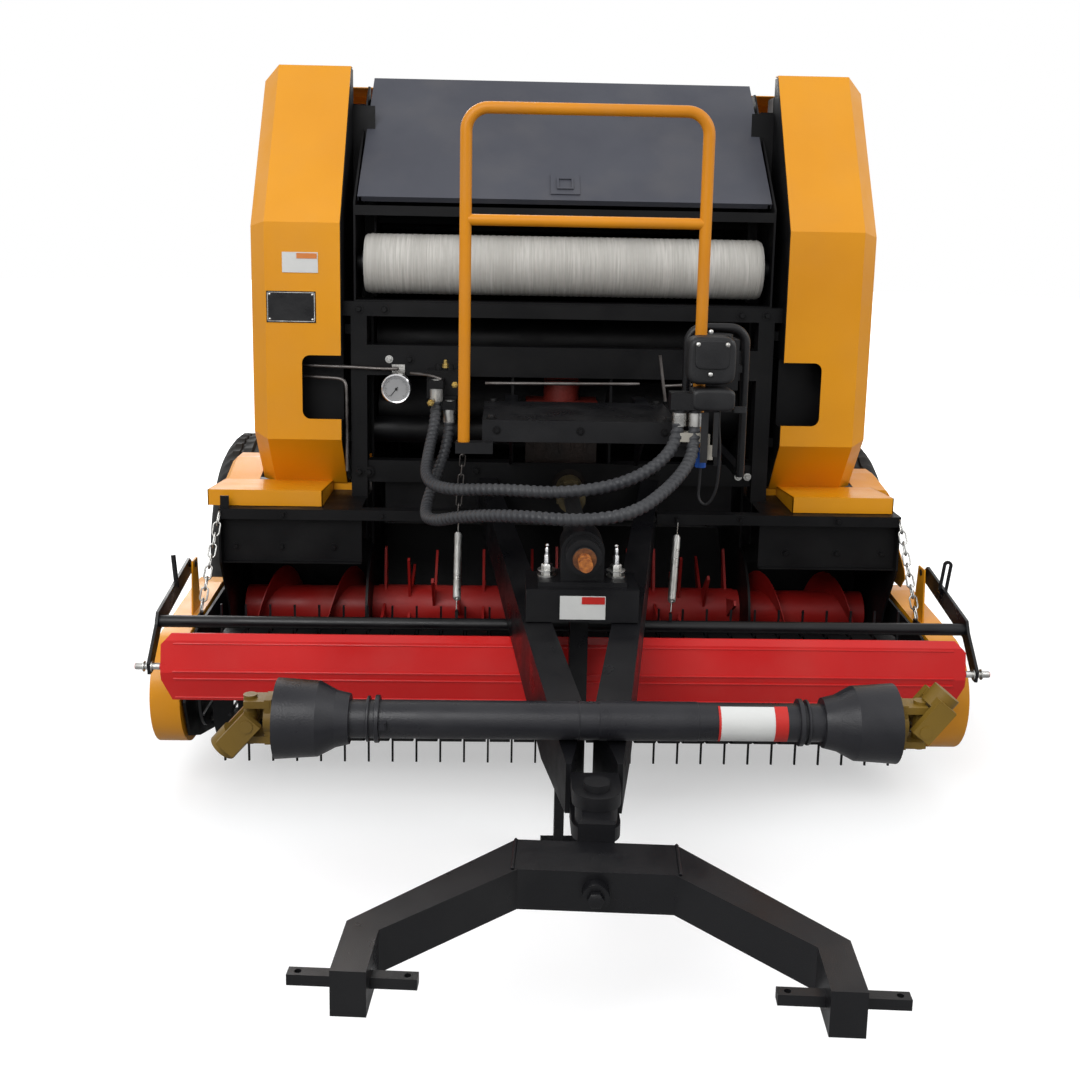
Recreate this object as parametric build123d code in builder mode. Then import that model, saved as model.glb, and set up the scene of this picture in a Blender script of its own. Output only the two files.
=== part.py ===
from build123d import *
import math
import os

os.makedirs("parts", exist_ok=True)

# Round baler with a fixed chamber, for towing behind a tractor.
# Millimetres.  X to the right seen from the tractor, -Y towards the tractor, +Z up.
# Origin: on the ground, under the middle of the whole machine.

# ---- driving dimensions --------------------------------------------------
clear = 6.0                # running clearance between moving pieces
seat = 0.3                 # gap where a piece rests on its seat

# wheels and axle
tyre_diameter = 850.0
tyre_width = 280.0
track_half = 1125.0        # middle of the tyre from the centre plane
axle_y = 1100.0
axle_tube = 90.0
rim_diameter = 400.0

# bale chamber
bale_diameter = 1200.0
roller_diameter = 190.0
chamber_y = 1100.0
chamber_z = 1300.0
chamber_half = 605.0       # inner face of the side walls
wall = 8.0
split_y = 1066.0           # rear edge of the fixed walls
split_gap = 7.0
hinge_z = 2140.0           # tailgate hinge
tailgate_reach = 820.0     # outer radius of the tailgate walls

# yellow bodywork
sheet = 3.0
shield_inner = 690.0
shield_outer = 970.0
shield_front = 100.0
shield_back = 450.0
shield_top = 2170.0
shield_knee = 1675.0
shield_bottom = 1005.0
shield_undercut = 840.0     # lower end of the sloping foot
shield_foot = 134.0         # how far the foot runs back from the front
shield_slope_back = 410.0  # where the sloping face meets the top
bevel = 50.0
notch_width = 120.0
notch_low = 1070.0
notch_high = 1270.0
notch_corner = 25.0
door_bottom = 840.0
tail_back = 1915.0         # rear face of the yellow tail shields
lamp_back = 1930.0         # rearmost face of the machine

# hood and net roll
hood_half = 642.0
hood_low_y = 200.0
hood_low_z = 1757.0
hood_top_y = 630.0
hood_top_z = 2157.0
net_y = 240.0
net_z = 1550.0
net_diameter = 190.0
net_length = 1250.0
net_plate = 651.0          # inner face of the net box side plates

# front frame
frame_y = 150.0
frame_depth = 60.0
post_x = 640.0
post_width = 50.0

# drawbar
drawbar_x = 28.0
arm_rear_y = 149.5
arm_front_y = -1250.0
arm_top_0 = 844.0          # height of the arms' top where y is 0
arm_top_slope = 0.24
arm_bottom_0 = 725.5
arm_bottom_slope = 0.305
arm_half_0 = 264.0         # outer half width where y is 0
arm_half_slope = 0.16
arm_width = 56.0
tongue_half = 62.0
lug_low = 458.0
lug_thick = 30.0
lug_radius = 52.0
hitch_pin_y = -1326.0
hitch_pin_r = 17.0
box_front = -700.0
box_back = -530.0
box_half = 145.0
box_low = 681.0
box_high = 767.0
shaft_z = 858.0

# platform and rail
rail_r = 16.0
rail_y = -400.0
rail_left = -290.0
rail_right = 350.0
rail_low = 1095.0
rail_mid = 1693.0
rail_top = 1983.0
platform_left = -240.0
platform_right = 300.0
platform_top = 1153.0
platform_front = -385.0
platform_back = -20.0
platform_flange = 60.0

# lower link yoke
yoke_turn = -3.6           # how far the yoke is turned on its pin, in degrees
yoke_low = 371.0           # what follows is measured from the hitch pin
yoke_high = 455.0
yoke_beam_front = -221.0
yoke_beam_back = -101.0
yoke_beam_half = 163.0
yoke_end_half = 417.0
yoke_bend_y = -444.0
yoke_front_y = -577.0
yoke_tube = 62.0
link_y = -532.0
link_z = 413.0
link_length = 225.0
link_width = 24.0
link_height = 20.0
link_hole = 12.5

# stand
stand_x = 24.0
stand_y = -620.0
stand_pivot_z = 380.0
stand_tube = 48.0

# feed rotor, augers and pickup
rotor_y = 250.0
rotor_z = 420.0
rotor_tip_r = 203.0
rotor_half = 590.0
rotor_floor_r = 209.0
core_r = 70.0
end_core_r = 66.0         # the shaft outside the chamber walls
auger_r = 130.0
auger_in = 625.0
auger_pitch = 225.0
housing_half = 1045.0      # outer face of the auger housing's ends
auger_out = housing_half - 27
housing_front = -12.0
beam_front = -50.0         # top beam of the auger housing
beam_depth = 40.0
housing_top = 815.0
housing_lip = 645.0
reel_y = -200.0
reel_z = 316.0
reel_tip_r = 245.0
reel_bar_r = 105.0
reel_half = housing_half + 15
band_r = 165.0
tine_pitch = 72.0
tine_r = 3.0
pickup_plate = housing_half + 35   # inner face of the pickup's side plates
pickup_cover_in = pickup_plate + 15
pickup_cover_out = pickup_cover_in + 85
chain_lug_top = 515.0
guard_half = 1104.0
crossbar_y = -400.0
crossbar_z = 573.0
crossbar_r = 17.0
guard_arm_x = pickup_cover_in + 37
crossbar_half = guard_arm_x + 11

# cardan shaft laid across the drawbar
cardan_y = -1166.0
cardan_r = 42.0
cardan_left = -667.0
cardan_right = 697.0
cardan_left_droop = -48.0  # turn of the outer yoke at each end, in degrees
cardan_right_droop = -52.0
cardan_bell_r = 88.0

# hoses and cable
hose_r = 17.0
cable_r = 4.0
plug_x = 356.0
plug_y = -440.0
plug_z = 1041.0


# cylinders that lift the tailgate
cylinder_x = 722.0
cylinder_base = (600.0, 640.0)
cylinder_eye = (1620.0, 1660.0)

# ---- small shapes used all over -------------------------------------------
def block(x0, x1, y0, y1, z0, z1, mode=Mode.ADD):
    """A box between two corners."""
    with Locations(((x0 + x1) / 2, (y0 + y1) / 2, (z0 + z1) / 2)):
        Box(abs(x1 - x0), abs(y1 - y0), abs(z1 - z0), mode=mode)


def rod_x(x0, x1, y, z, r, mode=Mode.ADD):
    """A round bar along X."""
    with Locations(((x0 + x1) / 2, y, z)):
        Cylinder(r, abs(x1 - x0), rotation=(0, 90, 0), mode=mode)


def rod_y(y0, y1, x, z, r, mode=Mode.ADD):
    """A round bar along Y."""
    with Locations((x, (y0 + y1) / 2, z)):
        Cylinder(r, abs(y1 - y0), rotation=(90, 0, 0), mode=mode)


def rod_z(z0, z1, x, y, r, mode=Mode.ADD):
    """A round bar along Z."""
    with Locations((x, y, (z0 + z1) / 2)):
        Cylinder(r, abs(z1 - z0), mode=mode)


def plate_yz(points, x0, x1, mode=Mode.ADD):
    """A plate with an outline in the YZ plane, from x0 to x1."""
    with BuildSketch(Plane.YZ.offset(min(x0, x1))) as outline:
        Polygon(*points, align=None)
    extrude(outline.sketch, amount=abs(x1 - x0), mode=mode)


def plate_xy(points, z0, z1, mode=Mode.ADD):
    """A plate with an outline seen from above, from z0 to z1."""
    with BuildSketch(Plane.XY.offset(z0)) as outline:
        Polygon(*points, align=None)
    extrude(outline.sketch, amount=z1 - z0, mode=mode)


def bar_between(start, end, r):
    """A round bar from one point to another."""
    run = Vector(*end) - Vector(*start)
    with BuildSketch(Plane(origin=start, z_dir=run)) as section:
        Circle(r)
    extrude(section.sketch, amount=run.length)


def arm_top(y):
    return arm_top_0 + arm_top_slope * y


def arm_bottom(y):
    return arm_bottom_0 + arm_bottom_slope * y


def arm_half(y):
    return arm_half_0 + arm_half_slope * y


def roller_place(angle):
    """Centre of the chamber roller at an angle from the rear, turning up over the top."""
    ring = (bale_diameter + roller_diameter) / 2
    turn = math.radians(angle)
    return chamber_y + ring * math.cos(turn), chamber_z + ring * math.sin(turn)


def keep(piece, name):
    """Label a finished piece and write its STEP file."""
    piece.part.label = name
    export_step(piece.part, f"parts/{name}.step")


chamber_out = chamber_half + wall
main_roller_angles = (100, 120, 140, 160, 180, 200, 240, 260)
tail_roller_angles = (280, 300, 320, 340, 0, 20, 40, 60, 80)
roller_r = roller_diameter / 2
wheel_z = tyre_diameter / 2

# ---- main frame: rails, posts and front cross members ---------------------
rail_in = 640.0
rail_out = 700.0
rail_bottom = wheel_z + axle_tube / 2
rail_height = 90.0
rail_front = 440.0
mount_half = 160.0         # inner faces of the gearbox's side plates
with BuildPart() as main_frame:
    for side in (-1, 1):
        block(side * rail_in, side * rail_out, rail_front, axle_y + 70, rail_bottom, rail_bottom + rail_height)
        block(side * (post_x - post_width / 2), side * (post_x + post_width / 2),
              frame_y, frame_y + frame_depth, housing_top, 1435)
        for y0 in (480, 960):
            block(side * chamber_out, side * rail_in, y0, y0 + 50, rail_bottom + 10, rail_bottom + 80)
        block(side * chamber_out, side * (post_x + post_width / 2), frame_y + frame_depth, 330, 1205, 1300)
        block(side * mount_half, side * (post_x - post_width / 2), frame_y + 12, frame_y + frame_depth,
              860, 930)
    block(-post_x, post_x, frame_y, frame_y + 40, 1205, 1300)
    block(-post_x - 60, post_x + 60, frame_y, frame_y + frame_depth, 1390, 1435)
    # plate that the drawbar is welded to, with a hole for the input shaft
    block(-300, 340, frame_y, frame_y + 12, 760, 930)
    rod_y(frame_y - 1, frame_y + 13, drawbar_x, shaft_z, 55, mode=Mode.SUBTRACT)
keep(main_frame, "main_frame")

# ---- chamber: side walls, sheets and rollers -------------------------------
lobe_r = rotor_floor_r + 5
with BuildPart() as chamber_walls:
    for side in (-1, 1):
        low_x = chamber_half if side > 0 else -chamber_out
        plate_yz(((260, 830), (260, 1420), (348, 1440), (352, 1650), (440, 1900), (600, 2055),
                  (642, 2057), (650, 2100), (split_y, 2110), (split_y, 495), (640, 480),
                  (rotor_y + 130, rotor_z - 165),
                  (rotor_y - 100, rotor_z), (rotor_y, rotor_z + lobe_r - 1)), low_x, low_x + wall)
        rod_x(low_x, low_x + wall, rotor_y, rotor_z, lobe_r)
        rod_x(low_x, low_x + wall, rotor_y, rotor_z, end_core_r + seat, mode=Mode.SUBTRACT)
        for angle in main_roller_angles:
            y, z = roller_place(angle)
            rod_x(side * chamber_out, side * (chamber_out + 14), y, z, 42)
        plate_yz(((1010, 2095), (split_y, 2095), (split_y + 30, 2140), (split_y + 10, 2168),
                  (split_y - 20, 2168)), side * chamber_out, side * (chamber_out + 20))
        rod_x(side * (chamber_half - 1), side * (chamber_out + 21), split_y, hinge_z, 12 + seat,
              mode=Mode.SUBTRACT)
        # bosses for the lift cylinders
        rod_x(side * chamber_out, side * (cylinder_x + 30), *cylinder_base, 14)
keep(chamber_walls, "chamber_walls")

with BuildPart() as chamber_sheets:
    # front skin over the upper rollers
    with BuildSketch(Plane.YZ.offset(-chamber_half)):
        with BuildLine():
            skin_r = (bale_diameter / 2) + roller_diameter + 8
            outer = CenterArc((chamber_y, chamber_z), skin_r + sheet, 98, 54)
            inner = CenterArc((chamber_y, chamber_z), skin_r, 98, 54)
            Line(outer @ 0, inner @ 0)
            Line(outer @ 1, inner @ 1)
        make_face()
    extrude(amount=2 * chamber_half)
    # floor under the rotor, running back to the first floor roller
    with BuildSketch(Plane.YZ.offset(-chamber_half)):
        with BuildLine():
            outer = CenterArc((rotor_y, rotor_z), rotor_floor_r + 4, 215, 100)
            inner = CenterArc((rotor_y, rotor_z), rotor_floor_r, 215, 100)
            Line(outer @ 0, inner @ 0)
            end_outer = Line(outer @ 1, (675, 594))
            end_inner = Line(inner @ 1, (672, 598))
            Line(end_outer @ 1, end_inner @ 1)
        make_face()
    extrude(amount=2 * chamber_half)
keep(chamber_sheets, "chamber_sheets")

with BuildPart() as chamber_rollers:
    for angle in main_roller_angles:
        y, z = roller_place(angle)
        rod_x(-chamber_half + 5, chamber_half - 5, y, z, roller_r)
        rod_x(-chamber_half, chamber_half, y, z, 25)
keep(chamber_rollers, "chamber_rollers")

# ---- axle ------------------------------------------------------------------
with BuildPart() as axle:
    block(-860, 860, axle_y - axle_tube / 2, axle_y + axle_tube / 2,
          wheel_z - axle_tube / 2, wheel_z + axle_tube / 2)
    for side in (-1, 1):
        rod_x(side * 860, side * (track_half + 60), axle_y, wheel_z, 27)
        rod_x(side * 860, side * 905, axle_y, wheel_z, 60)
keep(axle, "axle")

for side, side_name in ((-1, "left"), (1, "right")):
    middle = side * track_half
    half = tyre_width / 2
    tyre_r = tyre_diameter / 2
    rim_r = rim_diameter / 2
    with BuildPart() as tyre:
        with BuildSketch(Plane.XY):
            with BuildLine():
                Polyline((middle - half + 30, rim_r), (middle - half, rim_r + 60),
                         (middle - half, tyre_r - 75), (middle - half + 35, tyre_r - 22),
                         (middle - 85, tyre_r - 6), (middle - 60, tyre_r - 16), (middle - 45, tyre_r - 2),
                         (middle - 14, tyre_r), (middle - 6, tyre_r - 12),
                         (middle + 6, tyre_r - 12), (middle + 14, tyre_r), (middle + 45, tyre_r - 2),
                         (middle + 60, tyre_r - 16), (middle + 85, tyre_r - 6),
                         (middle + half - 35, tyre_r - 22), (middle + half, tyre_r - 75),
                         (middle + half, rim_r + 60), (middle + half - 30, rim_r), close=True)
            make_face()
        revolve(axis=Axis.X)
    tyre.part.label = "tyre_" + side_name
    placed = Pos(0, axle_y, wheel_z) * tyre.part
    placed.label = "tyre_" + side_name
    export_step(placed, f"parts/tyre_{side_name}.step")

    with BuildPart() as rim:
        with BuildSketch(Plane.XY):
            with BuildLine():
                # barrel of the rim, dish and hub in one turned section
                Polyline((middle - side * (half - 26), rim_r), (middle + side * (half - 26), rim_r),
                         (middle + side * (half - 26), rim_r - 14), (middle + side * 70, rim_r - 34),
                         (middle + side * 60, rim_r - 34), (middle + side * 48, 90),
                         (middle + side * 52, 62), (middle + side * 85, 58), (middle + side * 88, 0),
                         (middle + side * 70, 0), (middle + side * 70, 27 + seat),
                         (middle - side * 60, 27 + seat), (middle - side * 60, 62),
                         (middle + side * 30, 66), (middle + side * 38, 96),
                         (middle + side * 44, rim_r - 40), (middle - side * (half - 26), rim_r - 14),
                         close=True)
            make_face()
        revolve(axis=Axis.X)
    placed = Pos(0, axle_y, wheel_z) * rim.part
    placed.label = "rim_" + side_name
    export_step(placed, f"parts/rim_{side_name}.step")

# ---- yellow front shields --------------------------------------------------
shield_profile = ((shield_front, shield_bottom), (shield_front, shield_knee),
                  (shield_slope_back, shield_top), (shield_back, shield_top),
                  (shield_back, shield_undercut), (shield_front + shield_foot, shield_undercut))
for side, side_name in ((-1, "left"), (1, "right")):
    with BuildPart() as shield:
        plate_yz(shield_profile, side * shield_inner, side * shield_outer)
        outer_face = shield.faces().sort_by(Axis.X)[-1 if side > 0 else 0]
        folds = [edge for edge in outer_face.edges() if edge.center().Y < shield_back - 5
                 and edge.center().Z > shield_undercut + 5]
        chamfer(folds, length=bevel)
        inner_face = shield.faces().sort_by(Axis.X)[0 if side > 0 else -1]
        back_face = shield.faces().sort_by(Axis.Y)[-1]
        offset(amount=-sheet, openings=[inner_face, back_face])
        # window open towards the inside, where pipes and levers pass
        with BuildSketch(Plane.XZ.offset(-(shield_front - 20))):
            with Locations((side * (shield_inner + notch_width / 2 - 15), (notch_low + notch_high) / 2)):
                RectangleRounded(notch_width + 30, notch_high - notch_low, notch_corner)
        extrude(amount=-60, mode=Mode.SUBTRACT)
    keep(shield, side_name + "_front_shield")

# ---- lower covers above the auger housing ----------------------------------
cover_in = 665.0
cover_out = housing_half + 50
cover_front = 240.0
cover_low = housing_top + seat
cover_lip = 838.0          # where the front turns into the top
drive_guard = ((20, 600), (35, 626), (190, 735), (cover_front + 3, cover_lip - 16), (480, cover_lip - 16),
               (480, 560), (60, 560))
for side, side_name, cover_ridge in ((-1, "left", 889.0), (1, "right", 862.0)):
    with BuildPart() as cover:
        plate_yz(((cover_front, cover_low), (cover_front, cover_lip), (400, cover_ridge), (480, cover_ridge),
                  (480, cover_low)), side * cover_in, side * cover_out)
        outer_face = cover.faces().sort_by(Axis.X)[-1 if side > 0 else 0]
        folds = [edge for edge in outer_face.edges() if edge.center().Z > cover_low + 5
                 and edge.center().Y < 470]
        chamfer(folds, length=16)
        bottom_face = cover.faces().sort_by(Axis.Z)[0]
        back_face = cover.faces().sort_by(Axis.Y)[-1]
        offset(amount=-sheet, openings=[bottom_face, back_face])
        # room for the foot of the front shield
        block(side * (cover_in - 5), side * (shield_outer + 8), cover_front + sheet, 490,
              cover_low - 5, cover_ridge + 20, mode=Mode.SUBTRACT)
        # guard beside the drive of the rotor, on the right only
        if side > 0:
            plate_yz(drive_guard, cover_out - sheet, cover_out)
    keep(cover, side_name + "_lower_cover")

# ---- side doors, hinged along their top edge --------------------------------
door_front = shield_back + clear
door_back = split_y - 22
door_hinge_x = 830.0
door_hinge_z = shield_top - 18
for side, side_name in ((-1, "left"), (1, "right")):
    with BuildPart() as door:
        with BuildSketch(Plane.XZ.offset(-door_front)):
            Polygon((side * shield_outer, door_bottom), (side * shield_outer, shield_top - bevel),
                    (side * (shield_outer - bevel), shield_top), (side * door_hinge_x, shield_top),
                    (side * door_hinge_x, shield_top - sheet),
                    (side * (shield_outer - bevel - 2), shield_top - sheet),
                    (side * (shield_outer - sheet), shield_top - bevel - 2),
                    (side * (shield_outer - sheet), door_bottom), align=None)
        extrude(amount=-(door_back - door_front))
        # stiffening returns at the bottom and at both upright edges
        block(side * (shield_outer - 25), side * (shield_outer - sheet / 2), door_front, door_back,
              door_bottom, door_bottom + sheet)
        for y0 in (door_front, door_back - sheet):
            block(side * (shield_outer - 25), side * (shield_outer - sheet / 2), y0, y0 + sheet,
                  door_bottom, shield_top - bevel - 10)
        for y in (door_front + 60, door_back - 60):
            rod_y(y - 35, y + 35, side * door_hinge_x, door_hinge_z, 9)
            block(side * (door_hinge_x - 6), side * (door_hinge_x + 6), y - 35, y + 35,
                  door_hinge_z, shield_top - sheet / 2)
            rod_y(y - 36, y + 36, side * door_hinge_x, door_hinge_z, 5, mode=Mode.SUBTRACT)
    keep(door, side_name + "_side_door")

# brackets that carry the doors and the shields from the chamber walls
with BuildPart() as cover_brackets:
    for side in (-1, 1):
        for y, start_x in ((door_front + 60, net_plate + 6), (door_back - 60, chamber_out)):
            block(side * start_x, side * (door_hinge_x - 26), y - 20, y + 20, 2040, 2060)
            block(side * (door_hinge_x - 46), side * (door_hinge_x - 26), y - 48, y + 48,
                  2059, door_hinge_z - 2)
            rod_y(y - 50, y + 50, side * door_hinge_x, door_hinge_z, 4.5)
            for end in (-1, 1):
                # ears that carry the pin, low enough for the door to swing over them
                block(side * (door_hinge_x - 27), side * (door_hinge_x - 6), y + end * 40, y + end * 48,
                      door_hinge_z - 16, door_hinge_z - 2)
                block(side * (door_hinge_x - 7), side * (door_hinge_x + 8), y + end * 40, y + end * 48,
                      door_hinge_z - 12, door_hinge_z + 6)
        for z in (985, 1330):
            block(side * (post_x + post_width / 2), side * (shield_outer - sheet - seat), 192, 210, z, z + 30)
keep(cover_brackets, "cover_brackets")

# ---- net box, hood and net roll --------------------------------------------
with BuildPart() as net_box:
    for side in (-1, 1):
        low_x = net_plate if side > 0 else -net_plate - 6
        plate_yz(((170, 1435), (170, 1740), (hood_top_y - 20, hood_top_z - 30),
                  (hood_top_y + 10, hood_top_z - 30),
                  (hood_top_y + 10, 2000), (345, 1435)), low_x, low_x + 6)
    block(-net_plate, net_plate, 170, 200, 1700, 1730)
    block(-net_plate, net_plate, 170, 255, 1435, 1439)
    block(-net_plate, net_plate, hood_top_y - 20, hood_top_y + 10, hood_top_z - 97, hood_top_z - 72)
    for side in (-1, 1):
        rod_x(side * (net_plate - 14), side * net_plate, net_y, net_z, 28)
        rod_x(side * (net_plate - 15), side * net_plate, net_y, net_z, 13, mode=Mode.SUBTRACT)
keep(net_box, "net_box")

with BuildPart() as net_roll:
    rod_x(-net_length / 2, net_length / 2, net_y, net_z, net_diameter / 2)
    rod_x(-net_length / 2 - 8, net_length / 2 + 8, net_y, net_z, 34)
    rod_x(-net_plate + 1, net_plate - 1, net_y, net_z, 12)
keep(net_roll, "net_roll")

hood_run = math.hypot(hood_top_y - hood_low_y, hood_top_z - hood_low_z)
hood_tilt = math.degrees(math.atan2(hood_top_z - hood_low_z, hood_top_y - hood_low_y))
hood_plane = Plane(origin=(0, hood_low_y, hood_low_z), x_dir=(1, 0, 0),
                   z_dir=(0, -math.sin(math.radians(hood_tilt)), math.cos(math.radians(hood_tilt))))
hood_hinge_y = hood_top_y + 26
hood_hinge_z = hood_top_z - 8
with BuildPart() as hood:
    with BuildSketch(hood_plane):
        Polygon((-hood_half - 6, 0), (hood_half + 6, 0), (hood_half - 4, hood_run), (-hood_half + 4, hood_run),
                align=None)
    extrude(amount=-sheet)
    for side in (-1, 1):
        with BuildSketch(hood_plane):
            Polygon((side * (hood_half + 6), 0), (side * (hood_half - 4), hood_run),
                    (side * (hood_half - 7), hood_run), (side * (hood_half + 3), 0), align=None)
        extrude(amount=-20)
        # hinge leaf
        rod_x(side * (440 + seat), side * 470, hood_hinge_y, hood_hinge_z, 8)
        block(side * (440 + seat), side * 470, hood_top_y + 2, hood_hinge_y, hood_hinge_z - 8, hood_hinge_z)
    with BuildSketch(hood_plane):
        with Locations((0, sheet / 2), (0, hood_run - sheet / 2)):
            Rectangle(2 * (hood_half - 6), sheet)
    extrude(amount=-20)
    # square latch plate
    with BuildSketch(hood_plane):
        with Locations((0, 70)):
            Rectangle(92, 92)
    extrude(amount=4)
    with BuildSketch(hood_plane.offset(4)):
        with Locations((0, 70)):
            Rectangle(52, 52)
            Rectangle(40, 40, mode=Mode.SUBTRACT)
    extrude(amount=5)
keep(hood, "hood")

with BuildPart() as top_cover:
    block(-chamber_half + 1, chamber_half - 1, hood_top_y + 40, split_y - 40, 2110, 2110 + sheet)
    for y in (hood_top_y + 60, split_y - 80):
        block(-chamber_half, chamber_half, y, y + 30, 2096, 2110)
    for side in (-1, 1):
        rod_x(side * 400, side * 440, hood_hinge_y, hood_hinge_z, 8)
        block(side * 400, side * 440, hood_hinge_y, hood_top_y + 60, 2113, 2145)
keep(top_cover, "top_cover")

# ---- drawbar ----------------------------------------------------------------
lug_y = -1215.0            # where the tongue's lugs begin
with BuildPart() as drawbar:
    # both arms in plan, then cut to their slopes from above and below
    for side in (-1, 1):
        plate_xy(((drawbar_x + side * arm_half(arm_rear_y), arm_rear_y),
                  (drawbar_x + side * tongue_half, arm_front_y),
                  (drawbar_x + side * (tongue_half - 12), arm_front_y),
                  (drawbar_x + side * 10, arm_front_y + 190),
                  (drawbar_x + side * (arm_half(arm_rear_y) - arm_width), arm_rear_y)), 380, 1000)
    plate_xy(((drawbar_x - tongue_half, arm_front_y), (drawbar_x + tongue_half, arm_front_y),
              (drawbar_x + tongue_half, lug_y + 60), (drawbar_x - tongue_half, lug_y + 60)), 430, 442)
    plate_yz(((arm_rear_y, arm_top(arm_rear_y)), (-1400, arm_top(-1400)), (-1400, 1100),
              (arm_rear_y, 1100)), -400, 400, mode=Mode.SUBTRACT)
    plate_yz(((arm_rear_y + 5, arm_bottom(arm_rear_y + 5)), (-970, arm_bottom(-970)), (-1400, arm_bottom(-970)),
              (-1400, 300), (arm_rear_y + 5, 300)), -400, 400, mode=Mode.SUBTRACT)
    # tongue: lower and upper lug round the hitch pin, with cheeks
    for low in (lug_low - 36, lug_low + 36):
        with BuildSketch(Plane.XY.offset(low)):
            with Locations((drawbar_x, hitch_pin_y)):
                Circle(lug_radius)
            with Locations((drawbar_x, (hitch_pin_y + arm_front_y) / 2)):
                Rectangle(2 * lug_radius, arm_front_y - hitch_pin_y)
        extrude(amount=lug_thick)
    # seat for the bearing box, and the hole for the hitch pin
    block(drawbar_x - box_half - seat, drawbar_x + box_half + seat, box_front - seat, box_back + seat,
          box_low, box_high, mode=Mode.SUBTRACT)
    rod_z(300, 600, drawbar_x, hitch_pin_y, hitch_pin_r, mode=Mode.SUBTRACT)
    # post of the stand
    block(stand_x - stand_tube / 2, stand_x + stand_tube / 2, stand_y - stand_tube / 2,
          stand_y + stand_tube / 2, stand_pivot_z - 45, box_low)
    rod_x(stand_x - 60, stand_x + 30, stand_y, stand_pivot_z, 9)
keep(drawbar, "drawbar")

# ---- bearing box on the drawbar ---------------------------------------------
with BuildPart() as bearing_box:
    block(drawbar_x - box_half, drawbar_x + box_half, box_front, box_back, box_low, box_high)
    block(drawbar_x - 115, drawbar_x + 115, box_front + 20, box_back - 20, box_high, box_high + 14)
    block(drawbar_x - 56, drawbar_x + 56, box_front + 35, box_back - 35, box_high + 14, shaft_z)
    rod_y(box_front + 30, box_back - 30, drawbar_x, shaft_z, 56)
    rod_y(box_front - 20, box_front + 30, drawbar_x, shaft_z, 46)
    for side in (-1, 1):
        rod_z(box_high + 14, box_high + 44, drawbar_x + side * 90, (box_front + box_back) / 2, 9)
    rod_y(box_front - 60, box_back + 60, drawbar_x, shaft_z, 27 + seat, mode=Mode.SUBTRACT)
keep(bearing_box, "bearing_box")

# ---- gearbox ----------------------------------------------------------------
gearbox_front = 166.0      # end of the nose
gearbox_face = 205.0
gearbox_back = 340.0
gearbox_left = -112.0
gearbox_right = 118.0
cross_y = 290.0
cross_z = 1010.0
with BuildPart() as gearbox:
    block(gearbox_left, gearbox_right, gearbox_face, gearbox_back, 790, 1120)
    rod_y(gearbox_front, gearbox_face, drawbar_x, shaft_z, 66)
    rod_z(1120, 1185, (gearbox_left + gearbox_right) / 2, (gearbox_face + gearbox_back) / 2, 58)
    rod_x(gearbox_left - 60, gearbox_left, cross_y, cross_z, 45)
    for x in (-80, -40, 0, 40, 80):
        block(x - 3, x + 3, gearbox_face - 8, gearbox_face, 960, 1100)
    rod_y(gearbox_front - 10, gearbox_face + 40, drawbar_x, shaft_z, 24 + seat, mode=Mode.SUBTRACT)
keep(gearbox, "gearbox")

# mounting of the gearbox on the frame, and the tube round the cross shaft
with BuildPart() as gearbox_mount:
    for side in (-1, 1):
        plate_yz(((frame_y + 12, 755), (gearbox_back, 755), (gearbox_back, 1100), (frame_y + 40, 1205),
                  (frame_y + 12, 1205)), side * mount_half, side * (mount_half - 8))
        block(side * (mount_half - 8), side * (chamber_out - 50), frame_y + frame_depth - 8,
              frame_y + frame_depth, 755, 859)
    block(-mount_half, mount_half, frame_y + 20, gearbox_back, 755, 790)
    rod_x(-mount_half + 8, -mount_half - 1, cross_y, cross_z, 46, mode=Mode.SUBTRACT)
    rod_x(-chamber_half, gearbox_left - 60, cross_y, cross_z, 42)
keep(gearbox_mount, "gearbox_mount")

# ---- input shaft, turning in the box and the gearbox --------------------------
with BuildPart() as input_shaft:
    rod_y(-800, box_back + 40, drawbar_x, shaft_z, 17.5)
    rod_y(box_front - 20, box_back + 40, drawbar_x, shaft_z, 27)
    rod_y(-742, -730, drawbar_x, shaft_z, 30)
    rod_y(box_back + 30, -380, drawbar_x, shaft_z, 40)
    rod_y(-380, -20, drawbar_x, shaft_z, 24)
    # universal joint in front of the gearbox
    for y0, y1 in ((-60, -10), (70, 120)):
        rod_y(y0, y1, drawbar_x, shaft_z, 42)
    for side in (-1, 1):
        block(drawbar_x + side * 28, drawbar_x + side * 44, -20, 55, shaft_z - 22, shaft_z + 22)
        block(drawbar_x - 22, drawbar_x + 22, 5, 80, shaft_z + side * 28, shaft_z + side * 44)
    rod_x(drawbar_x - 46, drawbar_x + 46, 30, shaft_z, 13)
    rod_z(shaft_z - 46, shaft_z + 46, drawbar_x, 30, 13)
    rod_y(110, gearbox_face + 38, drawbar_x, shaft_z, 24)
    # six splines on the front end
    for turn in range(6):
        angle = math.radians(60 * turn)
        with Locations((drawbar_x + 17.5 * math.sin(angle), -771, shaft_z + 17.5 * math.cos(angle))):
            Box(7, 56, 5, rotation=(0, 60 * turn, 0), mode=Mode.SUBTRACT)
keep(input_shaft, "input_shaft")

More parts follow.
